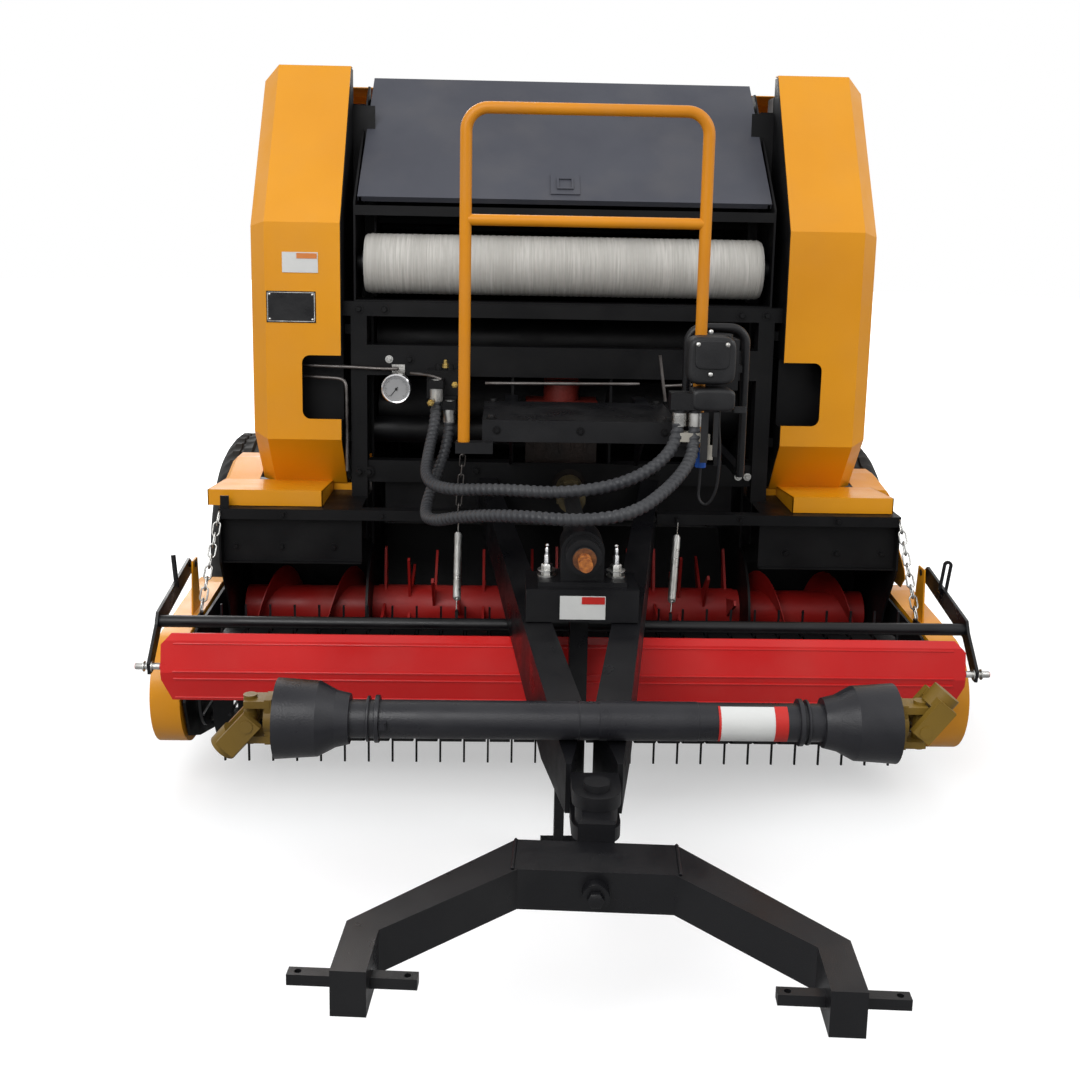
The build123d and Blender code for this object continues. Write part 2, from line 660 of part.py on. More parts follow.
# ---- platform and guard rail ---------------------------------------------------
with BuildPart() as platform:
    block(platform_left, platform_right, platform_front, platform_back, platform_top - 4, platform_top)
    block(platform_left, platform_right, platform_front, platform_front + 4,
          platform_top - platform_flange, platform_top)
    for side_x in (platform_left, platform_right - 4):
        block(side_x, side_x + 4, platform_front, platform_back, platform_top - 40, platform_top)
    # carriers back to the frame
    for x in (-180, 220):
        block(x, x + 40, platform_front + 60, frame_y, platform_top - 44, platform_top - 4)
        plate_yz(((frame_y, platform_top - 44), (frame_y, 930), (frame_y - 30, 930),
                  (platform_front + 200, platform_top - 44)), x + 16, x + 24)
    # feet of the rail
    block(rail_left - 22, platform_left, rail_y - 22, rail_y + 22, rail_low - 30, rail_low)
    block(platform_right, rail_right + 22, rail_y - 22, rail_y + 22, rail_low - 30, rail_low)
    block(platform_left, platform_left + 30, rail_y - 22, platform_front + 4, rail_low - 30, rail_low)
    block(platform_right - 30, platform_right, rail_y - 22, platform_front + 4, rail_low - 30, rail_low)
keep(platform, "platform")

with BuildPart() as guard_rail:
    with BuildLine() as rail_line:
        FilletPolyline((rail_left, rail_y, rail_low), (rail_left, rail_y, rail_top),
                       (rail_right, rail_y, rail_top), (rail_right, rail_y, rail_low), radius=60)
    with BuildSketch(Plane.XY.offset(rail_low)):
        with Locations((rail_left, rail_y)):
            Circle(rail_r)
    sweep(path=rail_line.line)
    rod_x(rail_left, rail_right, rail_y, rail_mid, rail_r - 1)
    # ring that holds the parked plug
    block(plug_x - 8, plug_x + 8, plug_y + 12, rail_y - rail_r + 3, plug_z + 56, plug_z + 68)
    rod_z(plug_z + 56, plug_z + 68, plug_x, plug_y, 16)
    rod_z(plug_z + 55, plug_z + 69, plug_x, plug_y, 11 + seat, mode=Mode.SUBTRACT)
keep(guard_rail, "guard_rail")

# ---- hydraulics on the frame ---------------------------------------------------
with BuildPart() as hydraulic_block:
    block(-420, -300, 40, 110, 1150, 1235)
    block(-400, -320, 110, frame_y, 1205, 1230)
    for x, z in ((-385, 1240), (-350, 1240)):
        rod_z(1235, z + 12, x, 75, 11)
    block(-408, -366, -45, 40, 1190, 1215)
    block(-366, -328, -45, 40, 1127, 1152)
    block(-366, -328, 20, 60, 1127, 1160)
keep(hydraulic_block, "hydraulic_block")

gauge_x = -516.0
gauge_z = 1173.0
gauge_y = 75.0
with BuildPart() as pressure_gauge:
    rod_y(gauge_y, gauge_y + 30, gauge_x, gauge_z, 45)
    rod_y(gauge_y - 4, gauge_y, gauge_x, gauge_z, 45)
    rod_y(gauge_y - 5, gauge_y - 1, gauge_x, gauge_z, 39, mode=Mode.SUBTRACT)
    rod_y(gauge_y + 30, frame_y - 1, gauge_x, gauge_z, 9)
    block(gauge_x - 20, gauge_x + 20, frame_y - 6, frame_y, gauge_z - 20, 1240)
keep(pressure_gauge, "pressure_gauge")

# ---- control box on the rail, with its bent tube ---------------------------------
with BuildPart() as control_box:
    block(352, 466, -345, -255, 1240, 1380)
    block(362, 456, -340, -260, 1178, 1240)
    rod_z(1380, 1392, 409, -300, 45)
    block(334, 352, rail_y + rail_r + 6, -300, 1290, 1330)
    block(rail_right - 24, rail_right + 24, rail_y + rail_r, rail_y + rail_r + 8, 1285, 1335)
    block(rail_right - 24, rail_right + 24, rail_y - rail_r - 8, rail_y - rail_r, 1285, 1335)
    for side in (-1, 1):
        block(rail_right + side * (rail_r + 1), rail_right + side * 24, rail_y - rail_r - 1,
              rail_y + rail_r + 1, 1285, 1335)
    # gland for the two hoses and the cable, clamped in front of the post
    block(262, 425, rail_y - 96, rail_y - 42, 1205, 1250)
    block(rail_right - 24, rail_right + 24, rail_y - 42, rail_y - rail_r, 1205, 1250)
    block(rail_right - 24, rail_right - rail_r, rail_y - 22, rail_y + rail_r, 1205, 1250)
keep(control_box, "control_box")

with BuildPart() as bent_tube:
    with BuildLine() as tube_line:
        FilletPolyline((338, -240, 1170), (338, -240, 1405), (503, -240, 1405), (503, -240, 975), radius=45)
    with BuildSketch(Plane.XY.offset(1170)):
        with Locations((338, -240)):
            Circle(12.5)
    sweep(path=tube_line.line)
    block(490, 516, -228, frame_y, 975, 1000)
    block(466, 492, -262, -232, 1280, 1300)
    block(490, 516, frame_y - 4, frame_y, 930, 1000)
keep(bent_tube, "bent_tube")

# ---- auger housing -----------------------------------------------------------------
trough_r = auger_r + 15
housing_back = rotor_y + trough_r + 30
housing_cheek = 680.0      # lower edge of the flange along the chamber wall
spring_tops = (-315, 352)
with BuildPart() as auger_housing:
    for side in (-1, 1):
        end_x = side * housing_half
        inner_x = side * (chamber_out + 2)
        # top beam, stopping at the drawbar's arm
        block(drawbar_x + side * (arm_half(beam_front + beam_depth) + seat), end_x, beam_front,
              beam_front + beam_depth, housing_top - 32, housing_top)
        # front sheet with its folded lip
        block(inner_x, end_x, housing_front - 4, housing_front, housing_lip, housing_top - 20)
        block(inner_x, end_x, housing_front - 22, housing_front, housing_lip - 4, housing_lip)
        # top and back
        block(inner_x, end_x, housing_front, housing_back, housing_top - 4, housing_top)
        block(inner_x, end_x, housing_back - 4, housing_back, 560, housing_top)
        # end panel
        plate_yz(((beam_front, housing_top), (housing_back, housing_top), (housing_back, rotor_z - 40),
                  (rotor_y + 70, rotor_z - trough_r - 6), (rotor_y - 60, rotor_z - trough_r - 6),
                  (rotor_y - 150, rotor_z - 90), (rotor_y - 200, rotor_z + 60), (beam_front, housing_lip)),
                 end_x - side * 6, end_x)
        # stub on which the pickup hangs
        rod_x(end_x, side * (pickup_cover_in - 1), rotor_y, rotor_z, 40)
        # trough under the auger
        with BuildSketch(Plane.YZ.offset(min(inner_x, end_x))):
            with BuildLine():
                outer = CenterArc((rotor_y, rotor_z), trough_r + 4, 205, 155)
                inner = CenterArc((rotor_y, rotor_z), trough_r, 205, 155)
                Line(outer @ 0, inner @ 0)
                back_outer = Polyline(outer @ 1, (rotor_y + trough_r + 4, 540), (housing_back, 600))
                back_inner = Polyline(inner @ 1, (rotor_y + trough_r, 544), (housing_back - 4, 605))
                Line(back_outer @ 1, back_inner @ 1)
            make_face()
        extrude(amount=abs(end_x - inner_x))
        # flange along the chamber wall
        block(side * chamber_out, side * (chamber_out + 4), 120, housing_back, housing_cheek, housing_top)
    # hooks for the springs and the chains
    for x in spring_tops:
        block(x - 4, x + 4, beam_front - 26, beam_front, housing_top - 28, housing_top - 8)
    # upright tab at the left end of the beam
    block(-housing_half + 5, -housing_half + 31, beam_front + 6, beam_front + 12,
          housing_top - 1, housing_top + 38)
keep(auger_housing, "auger_housing")

# ---- feed rotor with an auger at each end -----------------------------------------
flight_length = auger_out - auger_in - 6
flights = []
for side in (-1, 1):
    # a radial blade, turned as it is drawn out along the shaft
    blade = Pos(0, (core_r + auger_r) / 2 - 4, 0) * Rectangle(10, auger_r - core_r + 8)
    flight = Solid.extrude_linear_with_rotation(blade.face(), center=(0, 0, 0), normal=(0, 0, flight_length),
                                                angle=side * 360 * flight_length / auger_pitch)
    flights.append(Pos(side * (auger_in + 3), rotor_y, rotor_z) * Rot(0, side * 90, 0) * flight)

with BuildPart() as feed_rotor:
    rod_x(-rotor_half, rotor_half, rotor_y, rotor_z, core_r)
    for side in (-1, 1):
        rod_x(side * rotor_half, side * (auger_out + 2), rotor_y, rotor_z, end_core_r)
    # star plates, each turned on from the one before
    star_count = 15
    for number in range(star_count):
        x = (number - (star_count - 1) / 2) * 2 * (rotor_half - 25) / (star_count - 1)
        with BuildSketch(Plane.YZ.offset(x - 4)) as star:
            with Locations((rotor_y, rotor_z)):
                with PolarLocations(0, 4, start_angle=number * 24):
                    Polygon((core_r - 15, -30), (rotor_tip_r, -4), (rotor_tip_r, 12), (core_r - 15, 30),
                            align=None)
        extrude(star.sketch, amount=8)
    # one flight at each end, winding the crop inwards
    for flight in flights:
        add(flight)
keep(feed_rotor, "feed_rotor")

# ---- pickup frame ---------------------------------------------------------------
beam_y = reel_y + 186      # lower front corner of the cross tube
beam_z = reel_z - 208
with BuildPart() as pickup_frame:
    for side in (-1, 1):
        # side plate from the pivot to the reel
        plate_yz(((rotor_y - 25, rotor_z + 82), (rotor_y + 55, rotor_z + 60), (rotor_y + 70, rotor_z - 40),
                  (rotor_y, rotor_z - 90), (beam_y + 50, beam_z + 54), (beam_y + 50, beam_z - 6),
                  (beam_y - 10, beam_z - 6), (reel_y, reel_z - 165), (reel_y - 110, reel_z - 120),
                  (reel_y - 160, reel_z), (reel_y - 110, reel_z + 120),
                  (reel_y, reel_z + 165)),
                 side * pickup_plate, side * (pickup_plate + 8))
        rod_x(side * (pickup_plate - 1), side * (pickup_plate + 9), rotor_y, rotor_z, 40 + seat,
              mode=Mode.SUBTRACT)
        rod_x(side * (pickup_plate - 1), side * (pickup_plate + 9), reel_y, reel_z, 22 + seat,
              mode=Mode.SUBTRACT)
        # lug for the chain
        block(side * pickup_plate, side * (pickup_plate + 8), -170, -120, reel_z + 120, chain_lug_top)
    # cross tube that holds the bands, outside the circle that the tines sweep
    block(-pickup_plate, pickup_plate, beam_y, beam_y + 40, beam_z, beam_z + 40)
keep(pickup_frame, "pickup_frame")

# ---- stripper bands round the reel --------------------------------------------------
band_count = 2 * int(reel_half / tine_pitch)
with BuildPart() as pickup_bands:
    with BuildSketch(Plane.YZ.offset(-band_count / 2 * tine_pitch + 6)) as band:
        with Locations((reel_y, reel_z)):
            Circle(band_r)
        Polygon((reel_y - 20, reel_z + band_r - 2), (reel_y + 60, reel_z + 163), (reel_y + 150, reel_z + 146),
                (reel_y + 215, reel_z + 116), (reel_y + 205, reel_z + 70), (reel_y + 205, beam_z + 40),
                (reel_y + 120, beam_z + 40), (reel_y + 60, reel_z - band_r + 15), align=None)
        offset(amount=-sheet, mode=Mode.SUBTRACT)
    for number in range(band_count):
        extrude(Pos(number * tine_pitch, 0, 0) * band.sketch, amount=tine_pitch - 12)
keep(pickup_bands, "pickup_bands")

# ---- reel with its tine bars ---------------------------------------------------------
tine_bars = 4
with BuildPart() as pickup_reel:
    rod_x(-pickup_plate - 8, pickup_plate + 8, reel_y, reel_z, 22)
    for x in (-reel_half + 10, -reel_half / 3, reel_half / 3, reel_half - 10):
        rod_x(x - 4, x + 4, reel_y, reel_z, reel_bar_r + 18)
    bar_places = []
    tine_places = []
    for number in range(tine_bars):
        turn = 360 / tine_bars * number
        across = math.cos(math.radians(turn))
        up = math.sin(math.radians(turn))
        middle_r = (reel_bar_r + reel_tip_r) / 2
        bar_places.append(Location((0, reel_y + reel_bar_r * across, reel_z + reel_bar_r * up)))
        for tine in range(band_count + 1):
            x = (tine - band_count / 2) * tine_pitch
            tine_places.append(Location((x, reel_y + middle_r * across, reel_z + middle_r * up), (turn, 0, 0)))
    with Locations(*bar_places):
        Cylinder(12, 2 * (reel_half - 4), rotation=(0, 90, 0))
    with Locations(*tine_places):
        Box(2 * tine_r, reel_tip_r - reel_bar_r, 2 * tine_r)
keep(pickup_reel, "pickup_reel")

# ---- yellow end covers of the pickup ---------------------------------------------------
arm_pivot = (-48.0, 640.0)
with BuildPart() as pickup_covers:
    for side in (-1, 1):
        low_x = min(side * pickup_cover_in, side * pickup_cover_out)
        plate_yz(((reel_y, reel_z - 168), (reel_y, reel_z + 168), (rotor_y - 60, rotor_z + 92),
                  (rotor_y, rotor_z + 88), (rotor_y, rotor_z - 88)), low_x,
                 low_x + pickup_cover_out - pickup_cover_in)
        rod_x(low_x, low_x + pickup_cover_out - pickup_cover_in, reel_y, reel_z, 168)
        rod_x(low_x, low_x + pickup_cover_out - pickup_cover_in, rotor_y, rotor_z, 88)
        block(side * (pickup_plate + 8), side * pickup_cover_in, reel_y + 180, reel_y + 240,
              reel_z - 40, reel_z + 20)
        # bracket on which the arm of the wind guard turns
        plate_yz(((-95, 470), (5, 470), (-20, 655), (-75, 655)),
                 side * (guard_arm_x - 13), side * (guard_arm_x - 8))
        rod_x(side * (guard_arm_x - 14), side * (guard_arm_x - 7), *arm_pivot, 10 + seat, mode=Mode.SUBTRACT)
keep(pickup_covers, "pickup_covers")

# ---- wind guard and the arms that carry it -----------------------------------------------
guard_y = -470.0
guard_fold = ((guard_y - 12, 566), (guard_y - 32, 552), (guard_y - 48, 466), (guard_y - 30, 382))
with BuildPart() as wind_guard:
    with BuildSketch(Plane.YZ.offset(-guard_half)) as fold:
        Polygon(*guard_fold, *[(y + 4, z) for y, z in reversed(guard_fold)], align=None)
    extrude(fold.sketch, amount=2 * guard_half)
    # the corners are cut back
    for side in (-1, 1):
        with BuildSketch(Plane.XZ.offset(-guard_y + 100)) as corner:
            Polygon((side * (guard_half - 28), 570), (side * (guard_half + 5), 536),
                    (side * (guard_half + 5), 570),
                    align=None)
            Polygon((side * (guard_half - 28), 378), (side * (guard_half + 5), 456),
                    (side * (guard_half + 5), 378),
                    align=None)
        extrude(corner.sketch, amount=-200, mode=Mode.SUBTRACT)
        # pin lug at each end
        block(side * (guard_half - 14), side * (guard_half - 6), guard_y - 44, guard_y - 20, 466, 490)
        rod_x(side * (guard_half - 10), side * (guard_arm_x + 43), guard_y - 32, 478, 8)
keep(wind_guard, "wind_guard")

spring_feet = (-306, 296)
with BuildPart() as guard_arms:
    rod_x(-crossbar_half, crossbar_half, crossbar_y, crossbar_z, crossbar_r)
    for side in (-1, 1):
        plate_yz(((-30, 640), (-60, 662), (crossbar_y - 12, crossbar_z + 30), (crossbar_y - 30, crossbar_z),
                  (guard_y - 48, 490), (guard_y - 42, 458), (guard_y - 22, 458),
                  (crossbar_y + 5, crossbar_z - 25),
                  (-40, 612)), side * guard_arm_x, side * (guard_arm_x + 8))
        rod_x(side * (guard_arm_x - 15), side * (guard_arm_x + 14), *arm_pivot, 10)
        rod_x(side * (guard_arm_x - 1), side * (guard_arm_x + 9), guard_y - 32, 478, 8 + seat,
              mode=Mode.SUBTRACT)
    # handles standing on the arms: a round one at the left, a slotted one at the right
    bar_between((-guard_arm_x - 3.5, -204, 612), (-guard_arm_x - 13, -198, 708), 7)
    with BuildSketch(Plane.XZ.offset(204)) as loop:
        with Locations((guard_arm_x + 9, 668)):
            SlotOverall(104, 27, rotation=83)
            SlotOverall(86, 11, rotation=83, mode=Mode.SUBTRACT)
    extrude(loop.sketch, amount=-8)
    # tabs that the springs hook into
    for x in spring_feet:
        block(x - 4, x + 4, crossbar_y - 6, crossbar_y + 6, crossbar_z, crossbar_z + crossbar_r + 22)
keep(guard_arms, "guard_arms")

# ---- springs and chains that bear the pickup ---------------------------------------------
with BuildPart() as pickup_springs:
    for foot_x, top_x in zip(spring_feet, spring_tops):
        low = Vector(foot_x, crossbar_y, crossbar_z + crossbar_r + 25.5)
        high = Vector(top_x, beam_front - 28, housing_top - 18)
        run = high - low
        bar_between(low, high, 3)
        bar_between(low + run * 0.12, low + run * 0.82, 11)
keep(pickup_springs, "pickup_springs")

with BuildPart() as pickup_chains:
    for side in (-1, 1):
        bar_between((side * (housing_half - 5), beam_front - 5.9, housing_top - 12),
                    (side * (pickup_plate + 2), -145, chain_lug_top + 6.5), 6)
keep(pickup_chains, "pickup_chains")

# ---- swivel, lower link yoke and its link bars -----------------------------------------------
yoke_angle = math.radians(yoke_turn)
hitch = Plane(origin=(drawbar_x, hitch_pin_y, 0), x_dir=(math.cos(yoke_angle), math.sin(yoke_angle), 0),
              z_dir=(0, 0, 1))
yoke_mid_z = (yoke_low + yoke_high) / 2
gap_low = lug_low - 36 + lug_thick + seat
gap_high = lug_low + 36 - seat
with BuildPart(hitch) as swivel_block:
    rod_z(gap_low, gap_high, 0, 0, 45)
    rod_z(lug_low - 46, lug_low + 36 + lug_thick + 14, 0, 0, hitch_pin_r - seat)
    rod_z(lug_low + 36 + lug_thick + seat, lug_low + 36 + lug_thick + 16, 0, 0, 28)
    block(-30, 30, yoke_beam_back + 12, -20, gap_low, gap_high)
    block(-38, 38, yoke_beam_back + seat, yoke_beam_back + 16, yoke_mid_z - 40, gap_high)
    rod_y(yoke_beam_front - 24, yoke_beam_back + 10, 0, yoke_mid_z, 20)
    rod_y(yoke_beam_front - 24, yoke_beam_front - seat, 0, yoke_mid_z, 27)
keep(swivel_block, "swivel_block")

with BuildPart(hitch) as hitch_yoke:
    for side in (-1, 1):
        inner = side * (yoke_end_half - yoke_tube / 2)
        outer = side * (yoke_end_half + yoke_tube / 2)
        with BuildSketch(hitch.offset(yoke_low)) as plan:
            Polygon((0, yoke_beam_back), (side * yoke_beam_half, yoke_beam_back), (outer, yoke_bend_y + 20),
                    (outer, yoke_front_y), (inner, yoke_front_y), (inner, yoke_bend_y - 6),
                    (side * (yoke_beam_half - 10), yoke_beam_front), (0, yoke_beam_front), align=None)
        extrude(plan.sketch, amount=yoke_high - yoke_low)
    rod_y(yoke_beam_front - 5, yoke_beam_back + 5, 0, yoke_mid_z, 20 + seat, mode=Mode.SUBTRACT)
    for side in (-1, 1):
        x = side * yoke_end_half
        block(x - link_length / 2 - seat, x + link_length / 2 + seat, link_y - link_width / 2 - seat,
              link_y + link_width / 2 + seat, link_z - link_height / 2 - seat, link_z + link_height / 2 + seat,
              mode=Mode.SUBTRACT)
keep(hitch_yoke, "hitch_yoke")

with BuildPart(hitch) as link_bars:
    for side in (-1, 1):
        x = side * yoke_end_half
        block(x - link_length / 2, x + link_length / 2, link_y - link_width / 2, link_y + link_width / 2,
              link_z - link_height / 2, link_z + link_height / 2)
        for end in (-1, 1):
            rod_z(link_z - 20, link_z + 20, x + end * (link_length / 2 - 18), link_y, link_hole / 2,
                  mode=Mode.SUBTRACT)
keep(link_bars, "link_bars")

# ---- stand ----------------------------------------------------------------------------------
with BuildPart() as stand:
    leg_x = stand_x - stand_tube / 2 - 3
    plate_yz(((stand_y - 30, stand_pivot_z + 30), (stand_y + 30, stand_pivot_z + 30),
              (stand_y + 38, 12), (stand_y - 5, 12)), leg_x - 26, leg_x)
    block(leg_x - 60, leg_x + 50, stand_y - 40, stand_y + 75, 0, 12)
    rod_x(leg_x - 27, leg_x + 1, stand_y, stand_pivot_z, 9 + seat, mode=Mode.SUBTRACT)
keep(stand, "stand")

# ---- cardan shaft laid across the arms --------------------------------------------------------
cardan_z = arm_top(cardan_y) + (cardan_r + seat) / math.cos(math.atan(arm_top(1) - arm_top(0)))
with BuildPart() as cardan_guard:
    rod_x(cardan_left + 150, cardan_right - 150, cardan_y, cardan_z, cardan_r)
    for x, side in ((cardan_left, -1), (cardan_right, 1)):
        with BuildSketch(Plane.XZ.offset(-cardan_y)) as bell:
            Polygon((x, cardan_z), (x, cardan_z + cardan_bell_r), (x - side * 92, cardan_z + cardan_bell_r - 6),
                    (x - side * 130, cardan_z + 62), (x - side * 160, cardan_z + 55),
                    (x - side * 160, cardan_z), align=None)
        revolve(bell.sketch, axis=Axis((0, cardan_y, cardan_z), (1, 0, 0)))
keep(cardan_guard, "cardan_guard")

with BuildPart() as cardan_yokes:
    for x, side, droop in ((cardan_left, -1, cardan_left_droop), (cardan_right, 1, cardan_right_droop)):
        rod_x(x + side * seat, x + side * 26, cardan_y, cardan_z, 34)
        for up in (-1, 1):
            block(x + side * 12, x + side * 68, cardan_y - 28, cardan_y + 28, cardan_z + up * 32,
                  cardan_z + up * 48)
            block(x + side * 8, x + side * 24, cardan_y - 27, cardan_y + 27, cardan_z + up * 18,
                  cardan_z + up * 51)
        rod_z(cardan_z - 55, cardan_z + 55, x + side * 58, cardan_y, 15)
        rod_y(cardan_y - 55, cardan_y + 55, x + side * 58, cardan_z, 14)
        # outer yoke, turned about the cross pin
        with Locations(Location((x + side * 58, cardan_y, cardan_z), (0, droop, 0))):
            rod_x(side * 50, side * 94, 0, 0, 33)
            for way in (-1, 1):
                block(side * -18, side * 72, way * 34, way * 53, -24, 24)
                block(side * 54, side * 74, way * 20, way * 52, -23, 23)
keep(cardan_yokes, "cardan_yokes")

# ---- tailgate ----------------------------------------------------------------------------------
tail_front = split_y + split_gap
with BuildPart() as tailgate_walls:
    for side in (-1, 1):
        low_x = chamber_half if side > 0 else -chamber_out
        with BuildSketch(Plane.YZ.offset(low_x)) as disc:
            with Locations((chamber_y, chamber_z)):
                Circle(tailgate_reach)
            block_half = Rectangle(2 * tailgate_reach, 3 * tailgate_reach, align=(Align.MAX, Align.CENTER),
                                   mode=Mode.PRIVATE)
            add(Pos(tail_front, chamber_z) * block_half, mode=Mode.SUBTRACT)
        extrude(disc.sketch, amount=wall)
        for angle in tail_roller_angles:
            y, z = roller_place(angle)
            rod_x(side * chamber_out, side * (chamber_out + 14), y, z, 42)
        rod_x(side * chamber_out, side * (cylinder_x - 24 - seat), *cylinder_eye, 24)
        # hinge arm, outside the lug of the fixed wall
        plate_yz(((tail_front, 2060), (tail_front + 130, 2060), (split_y + 30, hinge_z + 25),
                  (split_y - 20, hinge_z + 20), (split_y - 22, hinge_z - 15)),
                 side * (chamber_out + 21), side * (chamber_out + 41))
        block(side * chamber_out, side * (chamber_out + 22), tail_front + 40, tail_front + 120, 2062, 2090)
        rod_x(side * (chamber_half + 2), side * (chamber_out + 52), split_y, hinge_z, 12)
keep(tailgate_walls, "tailgate_walls")

with BuildPart() as tailgate_rollers:
    for angle in tail_roller_angles:
        y, z = roller_place(angle)
        rod_x(-chamber_half + 5, chamber_half - 5, y, z, roller_r)
        rod_x(-chamber_half, chamber_half, y, z, 25)
keep(tailgate_rollers, "tailgate_rollers")

skin_in = bale_diameter / 2 + roller_diameter + 8
with BuildPart() as tailgate_skin:
    with BuildSketch(Plane.YZ.offset(-chamber_half)) as skin:
        with BuildLine():
            outer = CenterArc((chamber_y, chamber_z), skin_in + sheet, -58, 140)
            inner = CenterArc((chamber_y, chamber_z), skin_in, -58, 140)
            Line(outer @ 0, inner @ 0)
            Line(outer @ 1, inner @ 1)
        make_face()
    extrude(skin.sketch, amount=2 * chamber_half)
    # ribs across the back
    for angle in (-40, -10, 20, 50):
        turn = math.radians(angle)
        y = chamber_y + (skin_in + 10) * math.cos(turn)
        z = chamber_z + (skin_in + 10) * math.sin(turn)
        with Locations(Location((0, y, z), (angle, 0, 0))):
            Box(2 * chamber_half, 20, 60)
keep(tailgate_skin, "tailgate_skin")

for side, side_name in ((-1, "left"), (1, "right")):
    with BuildPart() as tail_shield:
        plate_yz(((tail_front + 12, shield_top), (1480, shield_top), (tail_back - 90, 1960), (tail_back, 1700),
                  (tail_back, 980), (tail_back - 150, 720), (1500, 640), (tail_front + 12, 640)),
                 side * (chamber_out + 60), side * shield_outer)
        outer_face = tail_shield.faces().sort_by(Axis.X)[-1 if side > 0 else 0]
        folds = [edge for edge in outer_face.edges() if edge.center().Y > tail_front + 20
                 and edge.center().Z > 1000 or edge.center().Z > 2100]
        chamfer(folds, length=bevel)
        inner_face = tail_shield.faces().sort_by(Axis.X)[0 if side > 0 else -1]
        front_face = tail_shield.faces().sort_by(Axis.Y)[0]
        bottom_faces = tail_shield.faces().filter_by(Axis.Z).sort_by(Axis.Z)[0]
        offset(amount=-sheet, openings=[inner_face, front_face, bottom_faces])
        for y, z in ((1330, 2010), (1700, 1700), (1700, 1000), (1250, 700)):
            block(side * chamber_out, side * (shield_outer - sheet), y - 15, y + 15, z - 15, z + 15)
    keep(tail_shield, side_name + "_tail_shield")

with BuildPart() as tail_lamps:
    for side in (-1, 1):
        block(side * 720, side * 860, tail_back, lamp_back, 1200, 1260)
keep(tail_lamps, "tail_lamps")

# ---- cylinders that lift the tailgate ------------------------------------------------------------
cylinder_run = math.hypot(cylinder_eye[0] - cylinder_base[0], cylinder_eye[1] - cylinder_base[1])


def along(distance):
    """A point in the side view, that far along the cylinder from its base pin."""
    part = distance / cylinder_run
    return (cylinder_base[0] + part * (cylinder_eye[0] - cylinder_base[0]),
            cylinder_base[1] + part * (cylinder_eye[1] - cylinder_base[1]))


with BuildPart() as lift_barrels:
    for side in (-1, 1):
        x = side * cylinder_x
        bar_between((x, *along(28)), (x, *along(cylinder_run - 150)), 32)
        rod_x(x - 22, x + 22, *cylinder_base, 30)
        rod_x(x - 23, x + 23, *cylinder_base, 14 + seat, mode=Mode.SUBTRACT)
        with BuildSketch(Plane(origin=(x, *along(cylinder_run)),
                               z_dir=(0, cylinder_base[0] - cylinder_eye[0],
                                      cylinder_base[1] - cylinder_eye[1]))
                         ) as bore:
            Circle(16 + seat)
        extrude(bore.sketch, amount=cylinder_run - 80, mode=Mode.SUBTRACT)
keep(lift_barrels, "lift_barrels")

with BuildPart() as lift_rods:
    for side in (-1, 1):
        x = side * cylinder_x
        bar_between((x, *along(100)), (x, *along(cylinder_run - 25)), 16)
        rod_x(x - 20, x + 20, *cylinder_eye, 28)
        rod_x(side * (cylinder_x - 24), side * (cylinder_x + 30), *cylinder_eye, 14)
keep(lift_rods, "lift_rods")


# ---- hoses and cable -------------------------------------------------------------------------------
def route_radii(route):
    """For each corner: 0.45 of its shorter run over the tangent of half its turn."""
    points = [Vector(*point) for point in route]
    radii = []
    for before, corner, after in zip(points, points[1:], points[2:]):
        turn = (corner - before).get_angle(after - corner)
        shorter = min((corner - before).length, (after - corner).length)
        radii.append(0.45 * shorter / math.tan(math.radians(turn / 2)))
    return radii


def free_tube(name, route, r):
    """A hose as straight runs joined by tangent arcs."""
    radii = route_radii(route)
    with BuildPart() as tube:
        with BuildLine() as path:
            FilletPolyline(*route, radius=radii)
        start = Vector(*route[0])
        with BuildSketch(Plane(origin=start, z_dir=Vector(*route[1]) - start)) as section:
            Circle(r)
        sweep(section.sketch, path=path.line)
    length = sum(edge.length for edge in path.edges())
    share = tube.part.volume / (math.pi * r * r * length)
    print(f"{name}: length {length:.0f}, smallest radius {min(radii):.0f}, volume share {share:.4f}")
    print("   radii", [round(radius) for radius in radii])
    keep(tube, name)


upper_hose_route = ((-387, -20, 1190), (-387, -20, 1135), (-391, -62, 1075), (-402, -150, 1015),
                    (-404, -290, 966), (-345, -420, 962), (-188, -535, 992), (-32, -590, 994),
                    (126, -580, 1016), (235, -535, 1065), (290, -470, 1125), (290, -470, 1205))
lower_hose_route = ((-347, -20, 1127), (-347, -20, 1070), (-356, -66, 1005), (-385, -150, 930),
                    (-408, -275, 862), (-375, -400, 868), (-280, -520, 915), (-140, -660, 950),
                    (13, -745, 958), (150, -722, 972), (250, -625, 1020), (318, -520, 1070),
                    (332, -470, 1125), (332, -470, 1205))
free_tube("upper_hose", upper_hose_route, hose_r)
free_tube("lower_hose", lower_hose_route, hose_r)

# the thin cable hangs in a loop from the gland and comes back up to its parked plug
cable_route = ((396, -470, 1205), (396, -470, 1160), (402, -472, 1105), (402, -474, 1045), (398, -470, 980),
               (376, -458, 934), (352, -444, 950), (plug_x, plug_y, 995), (plug_x, plug_y, plug_z - 1))
free_tube("plug_cable", cable_route, cable_r)
with BuildPart() as cable_plug:
    rod_z(plug_z, plug_z + 44, plug_x, plug_y, 15)
    rod_z(plug_z + 44, plug_z + 71, plug_x, plug_y, 11)
keep(cable_plug, "cable_plug")
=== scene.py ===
"""Looks of a towed round baler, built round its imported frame. Sizes are in metres."""

import math

import bpy
import numpy as np
from mathutils import Matrix, Vector


